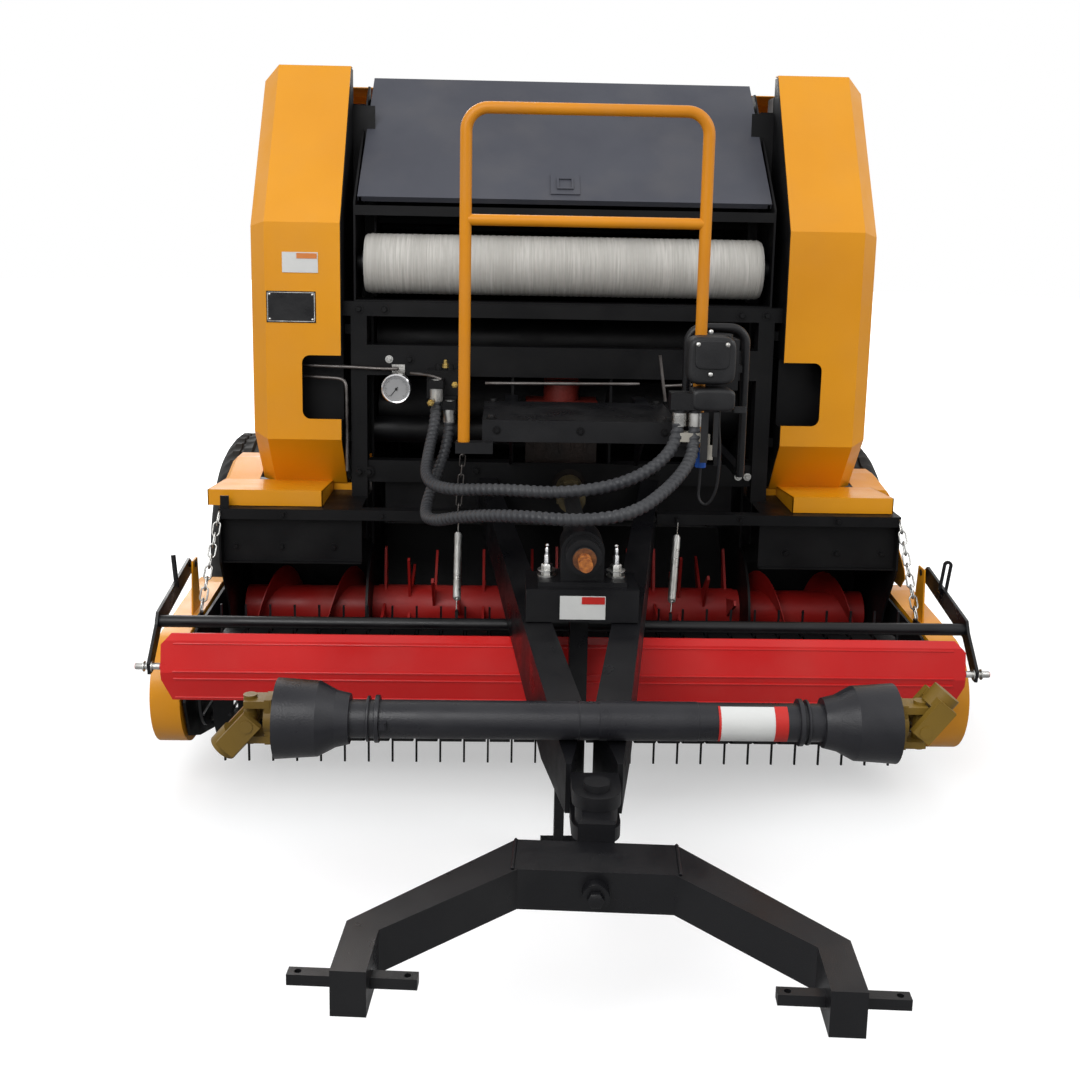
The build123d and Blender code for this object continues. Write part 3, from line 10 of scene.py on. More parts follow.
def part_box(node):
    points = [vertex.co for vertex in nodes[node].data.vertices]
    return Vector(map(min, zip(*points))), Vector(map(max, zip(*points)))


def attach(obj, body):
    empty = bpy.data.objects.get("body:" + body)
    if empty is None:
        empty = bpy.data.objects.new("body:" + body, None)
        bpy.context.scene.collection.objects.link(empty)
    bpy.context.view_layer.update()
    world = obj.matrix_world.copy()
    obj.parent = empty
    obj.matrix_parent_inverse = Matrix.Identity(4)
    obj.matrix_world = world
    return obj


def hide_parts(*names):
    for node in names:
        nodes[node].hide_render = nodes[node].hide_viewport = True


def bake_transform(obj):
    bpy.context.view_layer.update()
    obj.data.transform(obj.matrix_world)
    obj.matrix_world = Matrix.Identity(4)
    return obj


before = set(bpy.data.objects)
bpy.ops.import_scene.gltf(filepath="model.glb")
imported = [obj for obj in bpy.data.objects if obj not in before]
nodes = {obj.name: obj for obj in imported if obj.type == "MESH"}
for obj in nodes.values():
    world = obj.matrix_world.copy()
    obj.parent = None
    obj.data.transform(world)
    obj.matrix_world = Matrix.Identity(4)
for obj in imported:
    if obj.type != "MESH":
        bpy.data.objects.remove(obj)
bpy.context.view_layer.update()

# ---- camera, floor and light ---------------------------------------------------
camera_place = Vector((-0.17, -3.80, 1.70))
camera_turn = math.radians(1.5)
camera_dip = math.radians(10.1)
camera_roll = math.radians(1.1)
focal = 42.0
sensor = 36.0
lens_rise = -0.09


def add_camera():
    """Looks ahead along the turn and dip angles, rolled about its own line of sight."""
    ahead = Vector((math.sin(camera_turn) * math.cos(camera_dip),
                    math.cos(camera_turn) * math.cos(camera_dip), -math.sin(camera_dip)))
    right = Vector((math.cos(camera_turn), -math.sin(camera_turn), 0))
    up = right.cross(ahead)
    across = right * math.cos(camera_roll) + up * math.sin(camera_roll)
    upward = up * math.cos(camera_roll) - right * math.sin(camera_roll)
    data = bpy.data.cameras.new("view_camera")
    data.lens = focal
    data.sensor_width = sensor
    data.shift_y = lens_rise
    camera = bpy.data.objects.new("view_camera", data)
    camera.matrix_world = Matrix((across, upward, -ahead)).transposed().to_4x4()
    camera.location = camera_place
    bpy.context.collection.objects.link(camera)
    bpy.context.scene.camera = camera


def add_lamp(name, place, aim, size, power):
    """A square soft lamp at a place, facing the point it is aimed at."""
    data = bpy.data.lights.new(name, "AREA")
    data.size = size
    data.energy = power
    lamp = bpy.data.objects.new(name, data)
    lamp.location = place
    lamp.rotation_euler = (Vector(aim) - Vector(place)).to_track_quat("-Z", "Y").to_euler()
    bpy.context.collection.objects.link(lamp)


def add_node(tree, kind, inputs):
    """A shader node whose inputs each take a value or another node's output."""
    node = tree.nodes.new("ShaderNode" + kind)
    for name, value in inputs.items():
        if isinstance(value, bpy.types.NodeSocket):
            tree.links.new(value, node.inputs[name])
        else:
            node.inputs[name].default_value = value
    return node


def add_world():
    """Soft light that is strongest from overhead, and white where the camera, glass or metal sees it."""
    world = bpy.data.worlds.new("studio")
    bpy.context.scene.world = world
    world.use_nodes = True
    tree = world.node_tree
    direction = add_node(tree, "TexCoord", {}).outputs["Generated"]
    height = add_node(tree, "SeparateXYZ", {0: direction})
    overhead = add_node(tree, "MapRange", {"Value": height.outputs["Z"], "From Min": -0.1,
                                           "To Min": 0.16, "To Max": 1.15})
    ambient = add_node(tree, "Background", {"Color": (0.96, 0.98, 1.0, 1),
                                            "Strength": overhead.outputs["Result"]})
    backdrop = add_node(tree, "Background", {"Color": (1, 1, 1, 1), "Strength": 1.0})
    rays = add_node(tree, "LightPath", {})
    seen = rays.outputs["Is Camera Ray"]
    for kind in ("Is Glossy Ray", "Is Transmission Ray"):
        either = add_node(tree, "Math", {0: seen, 1: rays.outputs[kind]})
        either.operation = "MAXIMUM"
        seen = either.outputs[0]
    mix = add_node(tree, "MixShader", {"Fac": seen, 1: ambient.outputs[0], 2: backdrop.outputs[0]})
    tree.links.new(mix.outputs[0], tree.nodes["World Output"].inputs["Surface"])


def add_floor():
    """A pale disc that the camera sees as white, more so further out, with the machine's shadow kept."""
    reach, depth = 30, 0.001
    material = bpy.data.materials.new("studio_floor")
    material.use_nodes = True
    tree = material.node_tree
    tree.nodes.remove(tree.nodes["Principled BSDF"])
    place = add_node(tree, "TexCoord", {}).outputs["Object"]
    from_middle = add_node(tree, "VectorMath", {0: place})
    from_middle.operation = "LENGTH"
    distance = add_node(tree, "MapRange", {"Value": from_middle.outputs["Value"], "From Min": 1.5,
                                           "From Max": 5.0, "To Min": 0.46, "To Max": 1.0})
    lift = add_node(tree, "Emission", {"Color": (1, 1, 1, 1), "Strength": distance.outputs["Result"]})
    ground = add_node(tree, "BsdfDiffuse", {"Color": (0.60, 0.60, 0.60, 1)})
    unseen = add_node(tree, "BsdfDiffuse", {"Color": (0.34, 0.34, 0.34, 1)})
    both = add_node(tree, "AddShader", {0: ground.outputs[0], 1: lift.outputs[0]})
    seen = add_node(tree, "LightPath", {}).outputs["Is Camera Ray"]
    mix = add_node(tree, "MixShader", {"Fac": seen, 1: unseen.outputs[0], 2: both.outputs[0]})
    tree.links.new(mix.outputs[0], tree.nodes["Material Output"].inputs["Surface"])
    turn = np.linspace(0, 2 * np.pi, 96, endpoint=False)
    ring = np.stack([reach * np.cos(turn), reach * np.sin(turn), np.full_like(turn, -depth)], axis=1)
    mesh = bpy.data.meshes.new("studio_floor")
    mesh.from_pydata(ring.tolist(), [], [list(range(len(ring)))])
    mesh.materials.append(material)
    floor = bpy.data.objects.new("studio_floor", mesh)
    bpy.context.collection.objects.link(floor)


add_camera()
add_world()
add_floor()
add_lamp("high_front", (-2.5, -5.5, 5.0), (0, -0.5, 0.9), 4.0, 300)
add_lamp("high_right", (5.5, -2.0, 4.5), (0, 0, 1.0), 3.0, 120)
add_lamp("high_back", (-2.0, 6.5, 5.0), (0, 1.0, 1.2), 4.0, 260)


# ---- materials ------------------------------------------------------------------
class Finish:
    """A material's node tree, with short calls for the nodes that the finishes share."""

    def __init__(self, name, roughness, metallic=0.0, coat=0.0, gloss=0.5):
        self.material = bpy.data.materials.new(name)
        self.material.use_nodes = True
        self.tree = self.material.node_tree
        self.shader = self.tree.nodes["Principled BSDF"]
        for socket, value in (("Metallic", metallic), ("Roughness", roughness),
                              ("Specular IOR Level", gloss), ("Coat Weight", coat),
                              ("Coat Roughness", 0.12)):
            self.shader.inputs[socket].default_value = value
        self.place = self.node("TexCoord", {}).outputs["Object"]

    def node(self, kind, inputs):
        return add_node(self.tree, kind, inputs)

    def stretched(self, scale):
        """The place with each of its axes scaled by itself."""
        return self.node("Mapping", {"Vector": self.place, "Scale": scale}).outputs["Vector"]

    def cloud(self, scale, low=0.0, high=1.0, start=0.35, end=0.65, detail=4.0, place=None):
        """Noise read at a place and spread from low to high between two levels."""
        noise = self.node("TexNoise", {"Scale": scale, "Detail": detail, "Vector": place or self.place})
        spread = self.node("MapRange", {"Value": noise.outputs["Fac"], "From Min": start,
                                        "From Max": end, "To Min": low, "To Max": high})
        return spread.outputs["Result"]

    def past(self, axis, start, end):
        """From 0 to 1 as one coordinate goes from start to end."""
        split = self.node("SeparateXYZ", {0: self.place})
        share = self.node("MapRange", {"Value": split.outputs[axis], "From Min": start, "From Max": end})
        return share.outputs["Result"]

    def blend(self, amount, first, second):
        """One colour turning into another; either may be a colour or another node's output."""
        mix = self.tree.nodes.new("ShaderNodeMix")
        mix.data_type = "RGBA"
        for colour, socket in ((first, mix.inputs["A"]), (second, mix.inputs["B"])):
            if isinstance(colour, tuple):
                socket.default_value = (*colour, 1)
            else:
                self.tree.links.new(colour, socket)
        self.tree.links.new(amount, mix.inputs["Factor"])
        return mix.outputs["Result"]

    def colour(self, source):
        self.tree.links.new(source, self.shader.inputs["Base Color"])

    def rough(self, source):
        self.tree.links.new(source, self.shader.inputs["Roughness"])

    def bump(self, height, distance, strength, under=None):
        """Relief as deep as the distance in metres, laid over an earlier one where there is one."""
        inputs = {"Height": height, "Distance": distance, "Strength": strength}
        if under is not None:
            inputs["Normal"] = under
        normal = self.node("Bump", inputs).outputs["Normal"]
        self.tree.links.new(normal, self.shader.inputs["Normal"])
        return normal


def paint(name, colour, shade, roughness, dust=(0.24, 0.21, 0.17), dust_amount=0.25, coat=0.0, gloss=0.3):
    """Sprayed enamel: slow shifts of tone, a film of dust in patches and a faint orange peel."""
    finish = Finish(name, roughness, coat=coat, gloss=gloss)
    tone = finish.blend(finish.cloud(1.7), colour, shade)
    film = finish.cloud(5.5, 0.0, dust_amount, 0.48, 0.78, detail=8)
    finish.colour(finish.blend(film, tone, dust))
    finish.rough(finish.cloud(9.0, roughness - 0.06, roughness + 0.14, detail=6))
    peel = finish.bump(finish.cloud(420.0, detail=1), 0.00025, 0.35)
    finish.bump(finish.cloud(3.2, detail=2), 0.004, 0.35, under=peel)
    return finish.material


def metal(name, colour, shade, roughness, metallic=1.0, stretch=(1, 1, 1)):
    """Bare metal: streaks along the long way and patches of tarnish."""
    finish = Finish(name, roughness, metallic=metallic)
    grain = finish.stretched(stretch)
    finish.colour(finish.blend(finish.cloud(14.0, place=grain, detail=6), colour, shade))
    finish.rough(finish.cloud(30.0, roughness - 0.1, roughness + 0.15, place=grain))
    finish.bump(finish.cloud(160.0, place=grain), 0.0004, 0.4)
    return finish.material


def moulded(name, colour, shade, roughness, grain=260.0, gloss=0.3):
    """Rubber or plastic: even colour, slightly clouded, with a fine grain."""
    finish = Finish(name, roughness, gloss=gloss)
    finish.colour(finish.blend(finish.cloud(6.0), colour, shade))
    finish.rough(finish.cloud(12.0, roughness - 0.08, roughness + 0.1))
    finish.bump(finish.cloud(grain, detail=2), 0.0003, 0.5)
    return finish.material


yellow = paint("yellow_enamel", (0.70, 0.285, 0.004), (0.64, 0.25, 0.003), 0.36, dust_amount=0.05, coat=0.15)
rail_yellow = paint("rail_enamel", (0.63, 0.235, 0.004), (0.54, 0.19, 0.003), 0.40, dust_amount=0.08)
black = paint("black_enamel", (0.0025, 0.0025, 0.003), (0.0045, 0.0045, 0.005), 0.42,
              dust=(0.07, 0.066, 0.062), dust_amount=0.07, gloss=0.16)
frame_black = paint("hitch_enamel", (0.0028, 0.0028, 0.0036), (0.0058, 0.0058, 0.0070), 0.32,
                    dust=(0.08, 0.076, 0.072), dust_amount=0.06, gloss=0.30)
red = paint("red_enamel", (0.56, 0.009, 0.008), (0.46, 0.007, 0.007), 0.34, dust_amount=0.05, coat=0.12)
# The feed rotor's red is the wind guard's red painted darker: painted shade for its place deep behind the
# pickup and augers.
rotor_red_painted_shade = paint("rotor_enamel_painted_shade", (0.34, 0.012, 0.010), (0.22, 0.009, 0.008), 0.42, dust_amount=0.12)
slate = paint("slate_enamel", (0.058, 0.061, 0.076), (0.048, 0.050, 0.064), 0.42, dust_amount=0.08)
dark_steel = metal("rolled_steel", (0.16, 0.15, 0.145), (0.09, 0.08, 0.075), 0.45)
bright_steel = metal("zinc_steel", (0.62, 0.62, 0.60), (0.42, 0.41, 0.39), 0.32)
chrome = metal("chromed_rod", (0.75, 0.75, 0.76), (0.68, 0.68, 0.69), 0.14)
bronze = paint("bronze_casting", (0.21, 0.125, 0.014), (0.12, 0.07, 0.010), 0.44,
               dust=(0.10, 0.08, 0.05), dust_amount=0.12)
tyre_rubber = moulded("tyre_rubber", (0.010, 0.010, 0.010), (0.020, 0.019, 0.017), 0.72)
hose_rubber = moulded("hose_guard", (0.024, 0.025, 0.029), (0.040, 0.041, 0.044), 0.46)
black_plastic = moulded("black_plastic", (0.007, 0.007, 0.008), (0.013, 0.013, 0.014), 0.42)
guard_plastic = moulded("shaft_guard", (0.012, 0.012, 0.015), (0.019, 0.019, 0.022), 0.34)
blue_plastic = moulded("blue_plastic", (0.01, 0.09, 0.42), (0.01, 0.07, 0.33), 0.35)
white_label = moulded("blank_label", (0.62, 0.62, 0.60), (0.54, 0.54, 0.53), 0.4, grain=60)
red_label = moulded("red_label", (0.50, 0.02, 0.015), (0.42, 0.018, 0.014), 0.4, grain=60)
black_label = moulded("black_label", (0.006, 0.006, 0.007), (0.012, 0.012, 0.013), 0.3, grain=60)
lamp_lens = moulded("lamp_lens", (0.42, 0.008, 0.008), (0.34, 0.006, 0.006), 0.16)


def rusted_shaft():
    """Black shaft whose free splined end is bare and orange with rust, and whose joint is olive."""
    finish = Finish("shaft_with_rusted_end", 0.6, metallic=0.3)
    rust = finish.blend(finish.cloud(70.0), (0.50, 0.17, 0.03), (0.24, 0.07, 0.02))
    olive = finish.blend(finish.cloud(18.0), (0.085, 0.062, 0.022), (0.045, 0.035, 0.016))
    joint = finish.blend(finish.past("Y", -0.068, -0.062), (0.008, 0.008, 0.009), olive)
    finish.colour(finish.blend(finish.past("Y", -0.741, -0.744), joint, rust))
    finish.bump(finish.cloud(240.0), 0.0006, 0.6)
    return finish.material


def gearbox_dark_below():
    """Cast case, red at its finned top and black lower down."""
    finish = Finish("gearbox_enamel", 0.5, gloss=0.3)
    red_part = finish.blend(finish.cloud(9.0), (0.15, 0.014, 0.009), (0.085, 0.010, 0.007))
    dark_part = finish.blend(finish.cloud(9.0), (0.010, 0.007, 0.006), (0.020, 0.012, 0.009))
    finish.colour(finish.blend(finish.past("Z", 1.075, 1.095), dark_part, red_part))
    finish.bump(finish.cloud(140.0), 0.0008, 0.6)
    return finish.material


dressing = {
    yellow: ("left_front_shield", "right_front_shield", "left_lower_cover", "right_lower_cover",
             "left_side_door", "right_side_door", "pickup_covers", "left_tail_shield", "right_tail_shield",
             "tailgate_skin", "rim_left", "rim_right"),
    rail_yellow: ("guard_rail",),
    black: ("main_frame", "chamber_walls", "axle", "net_box", "gearbox_mount", "auger_housing",
            "pickup_frame", "pickup_bands", "tailgate_walls", "cover_brackets", "lift_barrels",
            "top_cover", "chamber_sheets", "chamber_rollers", "tailgate_rollers", "hydraulic_block"),
    frame_black: ("drawbar", "bearing_box", "platform", "control_box", "bent_tube", "swivel_block",
                  "hitch_yoke", "guard_arms", "stand", "link_bars", "pickup_reel"),
    red: ("wind_guard",),
    rotor_red_painted_shade: ("feed_rotor",),
    gearbox_dark_below(): ("gearbox",),
    slate: ("hood",),
    bright_steel: ("pressure_gauge", "pickup_springs", "pickup_chains"),
    chrome: ("lift_rods",),
    bronze: ("cardan_yokes",),
    tyre_rubber: ("tyre_left", "tyre_right"),
    hose_rubber: ("upper_hose", "lower_hose", "plug_cable"),
    guard_plastic: ("cardan_guard",),
    blue_plastic: ("cable_plug",),
    lamp_lens: ("tail_lamps",),
    white_label: ("net_roll",),
    rusted_shaft(): ("input_shaft",),
}
for material, names in dressing.items():
    for name in names:
        for slot in nodes[name].material_slots:
            slot.material = material


# ---- shapes worked out as arrays --------------------------------------------------
def net(rows, columns, close_rows=False, close_columns=False):
    """Quads between neighbouring points of a grid, each as four point numbers."""
    row = np.arange(rows if close_rows else rows - 1)[:, None]
    column = np.arange(columns if close_columns else columns - 1)[None, :]
    corners = (row * columns + column, row * columns + (column + 1) % columns,
               (row + 1) % rows * columns + (column + 1) % columns, (row + 1) % rows * columns + column)
    return np.stack(corners, axis=-1).reshape(-1, 4)


def capped(rings, columns):
    """Faces of a stack of rings, closed at its first and last ring."""
    faces = net(rings, columns, close_columns=True).tolist()
    faces.append(list(range(columns))[::-1])
    faces.append(list(range((rings - 1) * columns, rings * columns)))
    return faces


def turned(profile, sides):
    """A turned form about +Z: every (radius, height) of the profile goes once round a circle."""
    profile = np.asarray(profile, float)
    turn = np.linspace(0, 2 * np.pi, sides, endpoint=False)
    points = np.stack([np.outer(profile[:, 0], np.cos(turn)), np.outer(profile[:, 0], np.sin(turn)),
                       np.repeat(profile[:, 1:2], sides, axis=1)], axis=2).reshape(-1, 3)
    return points, capped(len(profile), sides)


def flat_form(outline, low, high):
    """A flat closed form: its outline drawn at two heights."""
    rings = [np.column_stack([outline, np.full(len(outline), height)]) for height in (low, high)]
    return np.concatenate(rings), capped(2, len(outline))


def slab(low, high, bevel=0.0):
    """A box between two corners, its upright edges cut back by the bevel."""
    (x0, y0, z0), (x1, y1, z1) = low, high
    outline = [(x0 + bevel, y0), (x1 - bevel, y0), (x1, y0 + bevel), (x1, y1 - bevel),
               (x1 - bevel, y1), (x0 + bevel, y1), (x0, y1 - bevel), (x0, y0 + bevel)]
    if not bevel:
        outline = outline[::2]
    return flat_form(outline, z0, z1)


def set_at(part, place, aim):
    """A part turned so that its +Z points along the aim, then moved to its place."""
    turn = np.array(Vector((0, 0, 1)).rotation_difference(Vector(aim)).to_matrix())
    return part[0] @ turn.T + np.asarray(place), part[1]


def joined(parts):
    """Several parts as one: points stacked, and face numbers moved on by the points before."""
    points, faces, start = [], [], 0
    for part_points, part_faces in parts:
        points.append(part_points)
        faces.extend([[number + start for number in face] for face in part_faces])
        start += len(part_points)
    return np.concatenate(points), faces


def add_piece(name, parts, material, body, smooth_angle=35):
    """One object from parts, with its faces smooth up to the given angle, which rides on a body
    unless the body is None."""
    points, faces = joined(parts)
    mesh = bpy.data.meshes.new(name)
    mesh.from_pydata(points.tolist(), [], faces)
    mesh.materials.append(material)
    mesh.shade_smooth()
    piece = bpy.data.objects.new(name, mesh)
    bpy.context.collection.objects.link(piece)
    mesh.set_sharp_from_angle(angle=math.radians(smooth_angle))
    if body:
        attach(piece, body)
    return piece


def unit(vector):
    """The same direction with a length of one."""
    return vector / np.linalg.norm(vector)


def along(path):
    """Unit vectors to the side and up at each point of a path, carried on without twist."""
    ahead = np.gradient(path, axis=0)
    ahead /= np.linalg.norm(ahead, axis=1)[:, None]
    side = np.empty_like(path)
    side[0] = unit(np.cross(ahead[0], (0.0, 1.0, 0.0) if abs(ahead[0][1]) < 0.9 else (1.0, 0.0, 0.0)))
    for row in range(1, len(path)):
        side[row] = unit(side[row - 1] - ahead[row] * (side[row - 1] @ ahead[row]))
    return side, np.cross(ahead, side)


def rings_round(path, side, up, radius, columns):
    """Points round a path: each ring is its centre plus radius times cos turn side and sin turn up."""
    turn = np.linspace(0, 2 * np.pi, columns, endpoint=False)
    ring = side[:, None] * np.cos(turn)[None, :, None] + up[:, None] * np.sin(turn)[None, :, None]
    reach = np.broadcast_to(radius, (len(path), columns))
    return (path[:, None] + ring * reach[:, :, None]).reshape(-1, 3)


def sleeve(path, radius, columns):
    """A closed tube along a path; the radius is one number, or one for each ring or point."""
    path = np.asarray(path, float)
    if np.ndim(radius) == 1:
        radius = np.reshape(radius, (-1, 1))
    side, up = along(path)
    return rings_round(path, side, up, radius, columns), capped(len(path), columns)


def evenly(path, spacing):
    """The same line with its points a set distance apart, and its length."""
    path = np.asarray(path, float)
    run = np.concatenate([[0], np.cumsum(np.linalg.norm(np.diff(path, axis=0), axis=1))])
    steps = np.linspace(0, run[-1], max(3, int(round(run[-1] / spacing)) + 1))
    return np.column_stack([np.interp(steps, run, path[:, axis]) for axis in range(3)]), run[-1]


def drawn_spline(name, route):
    """A NURBS curve with the route's points as its control points."""
    data = bpy.data.curves.new(name, "CURVE")
    data.dimensions = "3D"
    spline = data.splines.new("NURBS")
    spline.points.add(len(route) - 1)
    for point, place in zip(spline.points, route):
        point.co = (*place, 1)
    spline.order_u = 3
    spline.use_endpoint_u = True
    spline.resolution_u = 16
    curve = bpy.data.objects.new(name, data)
    bpy.context.collection.objects.link(curve)
    return curve


def spline_line(name, route):
    """Points read along the route's smooth curve."""
    curve = drawn_spline(name, route)
    mesh = bpy.data.meshes.new_from_object(curve)
    points = np.empty(len(mesh.vertices) * 3)
    mesh.vertices.foreach_get("co", points)
    bpy.data.objects.remove(curve)
    bpy.data.meshes.remove(mesh)
    return points.reshape(-1, 3)


# ---- hoses in their spiral guards, and the cable of the control box -------------------
hose_radius = 0.017
guard_pitch = 0.0185
groove_share = 0.86
upper_route = (
    (-0.387, -0.020, 1.190), (-0.387, -0.020, 1.135), (-0.391, -0.062, 1.075), (-0.402, -0.150, 1.015),
    (-0.404, -0.290, 0.966), (-0.345, -0.420, 0.962), (-0.188, -0.535, 0.992), (-0.032, -0.590, 0.994),
    (0.126, -0.580, 1.016), (0.235, -0.535, 1.065), (0.290, -0.470, 1.125), (0.290, -0.470, 1.205))
lower_route = (
    (-0.347, -0.020, 1.127), (-0.347, -0.020, 1.070), (-0.356, -0.066, 1.005), (-0.385, -0.150, 0.930),
    (-0.408, -0.275, 0.862), (-0.375, -0.400, 0.868), (-0.280, -0.520, 0.915), (-0.140, -0.660, 0.950),
    (0.013, -0.745, 0.958), (0.150, -0.722, 0.972), (0.250, -0.625, 1.020), (0.318, -0.520, 1.070),
    (0.332, -0.470, 1.125), (0.332, -0.470, 1.205))
cable_radius = 0.004
cable_route = (
    (0.396, -0.470, 1.205), (0.396, -0.470, 1.160), (0.402, -0.472, 1.105), (0.402, -0.474, 1.045),
    (0.398, -0.470, 0.980), (0.376, -0.458, 0.934), (0.352, -0.444, 0.950), (0.356, -0.440, 0.995),
    (0.356, -0.440, 1.040))


def spiral_guard(name, route, node):
    """Hose wound in a flat plastic strip: the radius rises from the groove to full and falls once
    in each pitch, by a rounded square wave of (distance / pitch - turn / full circle)."""
    columns, rings_each_pitch = 22, 7
    line = spline_line(name + "_line", route)
    path, length = evenly(line, guard_pitch / rings_each_pitch)
    distance = np.linspace(0, length, len(path))
    turn = np.linspace(0, 1, columns, endpoint=False)
    phase = distance[:, None] / guard_pitch - turn[None, :]
    wave = np.clip(0.5 + 1.3 * np.sin(2 * np.pi * phase), 0, 1)
    guard = sleeve(path, hose_radius * (groove_share + (1 - groove_share) * wave), columns)
    piece = add_piece(name, [guard], hose_rubber, "chassis", smooth_angle=60)
    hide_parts(node)


spiral_guard("upper_hose_guard", upper_route, "upper_hose")
spiral_guard("lower_hose_guard", lower_route, "lower_hose")

cable = drawn_spline("box_cable", cable_route)
cable.data.bevel_depth = cable_radius
cable.data.bevel_resolution = 3
cable.data.use_fill_caps = True
cable.data.materials.append(black_plastic)
cable_line = spline_line("box_cable_line", cable_route)
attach(cable, "chassis")
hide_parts("plug_cable")


# ---- fittings that repeat ------------------------------------------------------------
left, right, front, upward = (-1, 0, 0), (1, 0, 0), (0, -1, 0), (0, 0, 1)


def hex_bolt(place, aim, across):
    """A round washer, a six-sided head and the cut-back corners of its top."""
    washer = turned([(across * 0.95, 0), (across * 0.95, across * 0.12)], 18)
    corner = across / math.sqrt(3)
    head = turned([(corner, across * 0.12), (corner, across * 0.58), (corner * 0.86, across * 0.68)], 6)
    return [set_at(washer, place, aim), set_at(head, place, aim)]


def bolts_at(places, aim, across):
    """A bolt at every place, all facing one way."""
    return [part for place in places for part in hex_bolt(place, aim, across)]


def screws_at(places, aim, radius):
    """Low domed heads: the radius falls along a quarter circle as the height rises."""
    rise = np.linspace(0, np.pi / 2 - 0.15, 5)
    head = turned(np.column_stack([radius * np.cos(rise), radius * 0.6 * np.sin(rise)]), 14)
    return [set_at(head, place, aim) for place in places]


def tube_run(points, radius):
    """A pipe through a few points, its corners rounded by the smooth curve."""
    path, _ = evenly(spline_line("pipe_line", points), 0.008)
    return sleeve(path, radius, 12)


def closed_tube(path, radius, columns=8):
    """A tube round a closed flat loop, whose axis is the cross product of two of its chords."""
    ahead = np.roll(path, -1, axis=0) - np.roll(path, 1, axis=0)
    ahead /= np.linalg.norm(ahead, axis=1)[:, None]
    axis = unit(np.cross(path[1] - path[0], path[len(path) // 3] - path[0]))
    side = np.broadcast_to(axis, path.shape)
    points = rings_round(path, side, np.cross(ahead, side), radius, columns)
    return points, net(len(path), columns, close_rows=True, close_columns=True).tolist()


def link_chain(top, foot, pitch=0.034, half_width=0.0105, wire=0.0028):
    """Oval links from top to foot, each a circle with its halves pulled apart along the run,
    and turned a quarter from the one before."""
    top, foot = np.asarray(top), np.asarray(foot)
    length = np.linalg.norm(foot - top)
    run = unit(foot - top)
    count = int(round(length / pitch))
    side = unit(np.cross(run, (0.0, 1.0, 0.0)))
    reach = length / count / 2 + wire * 1.6 - half_width
    turn = np.linspace(0, 2 * np.pi, 20, endpoint=False)
    links = []
    for number in range(count):
        middle = top + run * length * (number + 0.5) / count
        width = side if number % 2 else np.cross(run, side)
        path = (middle + np.outer(np.cos(turn) * half_width + np.sign(np.cos(turn)) * reach, run)
                + np.outer(np.sin(turn) * half_width, width))
        links.append(closed_tube(path, wire))
    return links


def coil_spring(low, high, radius, wire, turns):
    """Wire wound round the line from low to high, as radius times cos and sin of turns x share of
    the way; outside the wound stretch it runs in to the line and on to the hooks."""
    first, last, run_in = 0.10, 0.84, 0.02
    low, high = np.asarray(low), np.asarray(high)
    run = high - low
    side = unit(np.cross(run, (1.0, 0.0, 0.0)))
    up = np.cross(unit(run), side)
    share = np.linspace(0, 1, int(turns * 12))
    wound = np.clip((share - first) / run_in, 0, 1) * np.clip((last - share) / run_in, 0, 1)
    angle = 2 * np.pi * turns * (np.clip(share, first, last) - first) / (last - first)
    path = (low + np.outer(share, run) + side * (radius * wound * np.cos(angle))[:, None]
            + up * (radius * wound * np.sin(angle))[:, None])
    keep = (wound > 0) | (np.arange(len(share)) % 6 == 0)
    return sleeve(path[keep], wire, 7)


def rounded_case(centre, half, depth, edge):
    """A moulded case that faces the front: its outline is a superellipse, the half sizes times
    cos and sin of the turn to the power 2/5, drawn in along a quarter circle at the front edge."""
    power, sides = 2 / 5.0, 40
    turn = np.linspace(0, 2 * np.pi, sides, endpoint=False)
    across = np.sign(np.cos(turn)) * np.abs(np.cos(turn)) ** power
    up = np.sign(np.sin(turn)) * np.abs(np.sin(turn)) ** power
    bend = np.linspace(0, np.pi / 2, 6)
    inset = np.concatenate([[0], edge * (1 - np.cos(bend))])
    ahead = np.concatenate([[0], depth - edge + edge * np.sin(bend)])
    points = np.stack([centre[0] + np.outer(half[0] - inset, across),
                       centre[1] - np.outer(ahead, np.ones(sides)),
                       centre[2] + np.outer(half[1] - inset, up)], axis=2).reshape(-1, 3)
    return points, capped(len(inset), sides)


def wall_plate(outline, x0, x1):
    """A plate with its outline in the upright fore-and-aft plane, between two places across."""
    outline = np.asarray(outline, float)
    following = np.roll(outline, -1, axis=0)
    area = np.sum(outline[:, 0] * following[:, 1] - following[:, 0] * outline[:, 1])
    if area < 0:
        outline = outline[::-1]
    points, faces = flat_form(outline, *sorted((x0, x1)))
    return points[:, [2, 0, 1]], faces


def side_slab(side, inner, outer, low, high, bevel=0.0):
    """A box on one side of the machine: an inner and an outer place across, and two (y, z)."""
    near, far = sorted((side * inner, side * outer))
    return slab((near, *low), (far, *high), bevel)


def middle_of(node):
    """The middle of a node's box at rest."""
    low, high = (np.array(corner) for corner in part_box(node))
    return (low + high) / 2


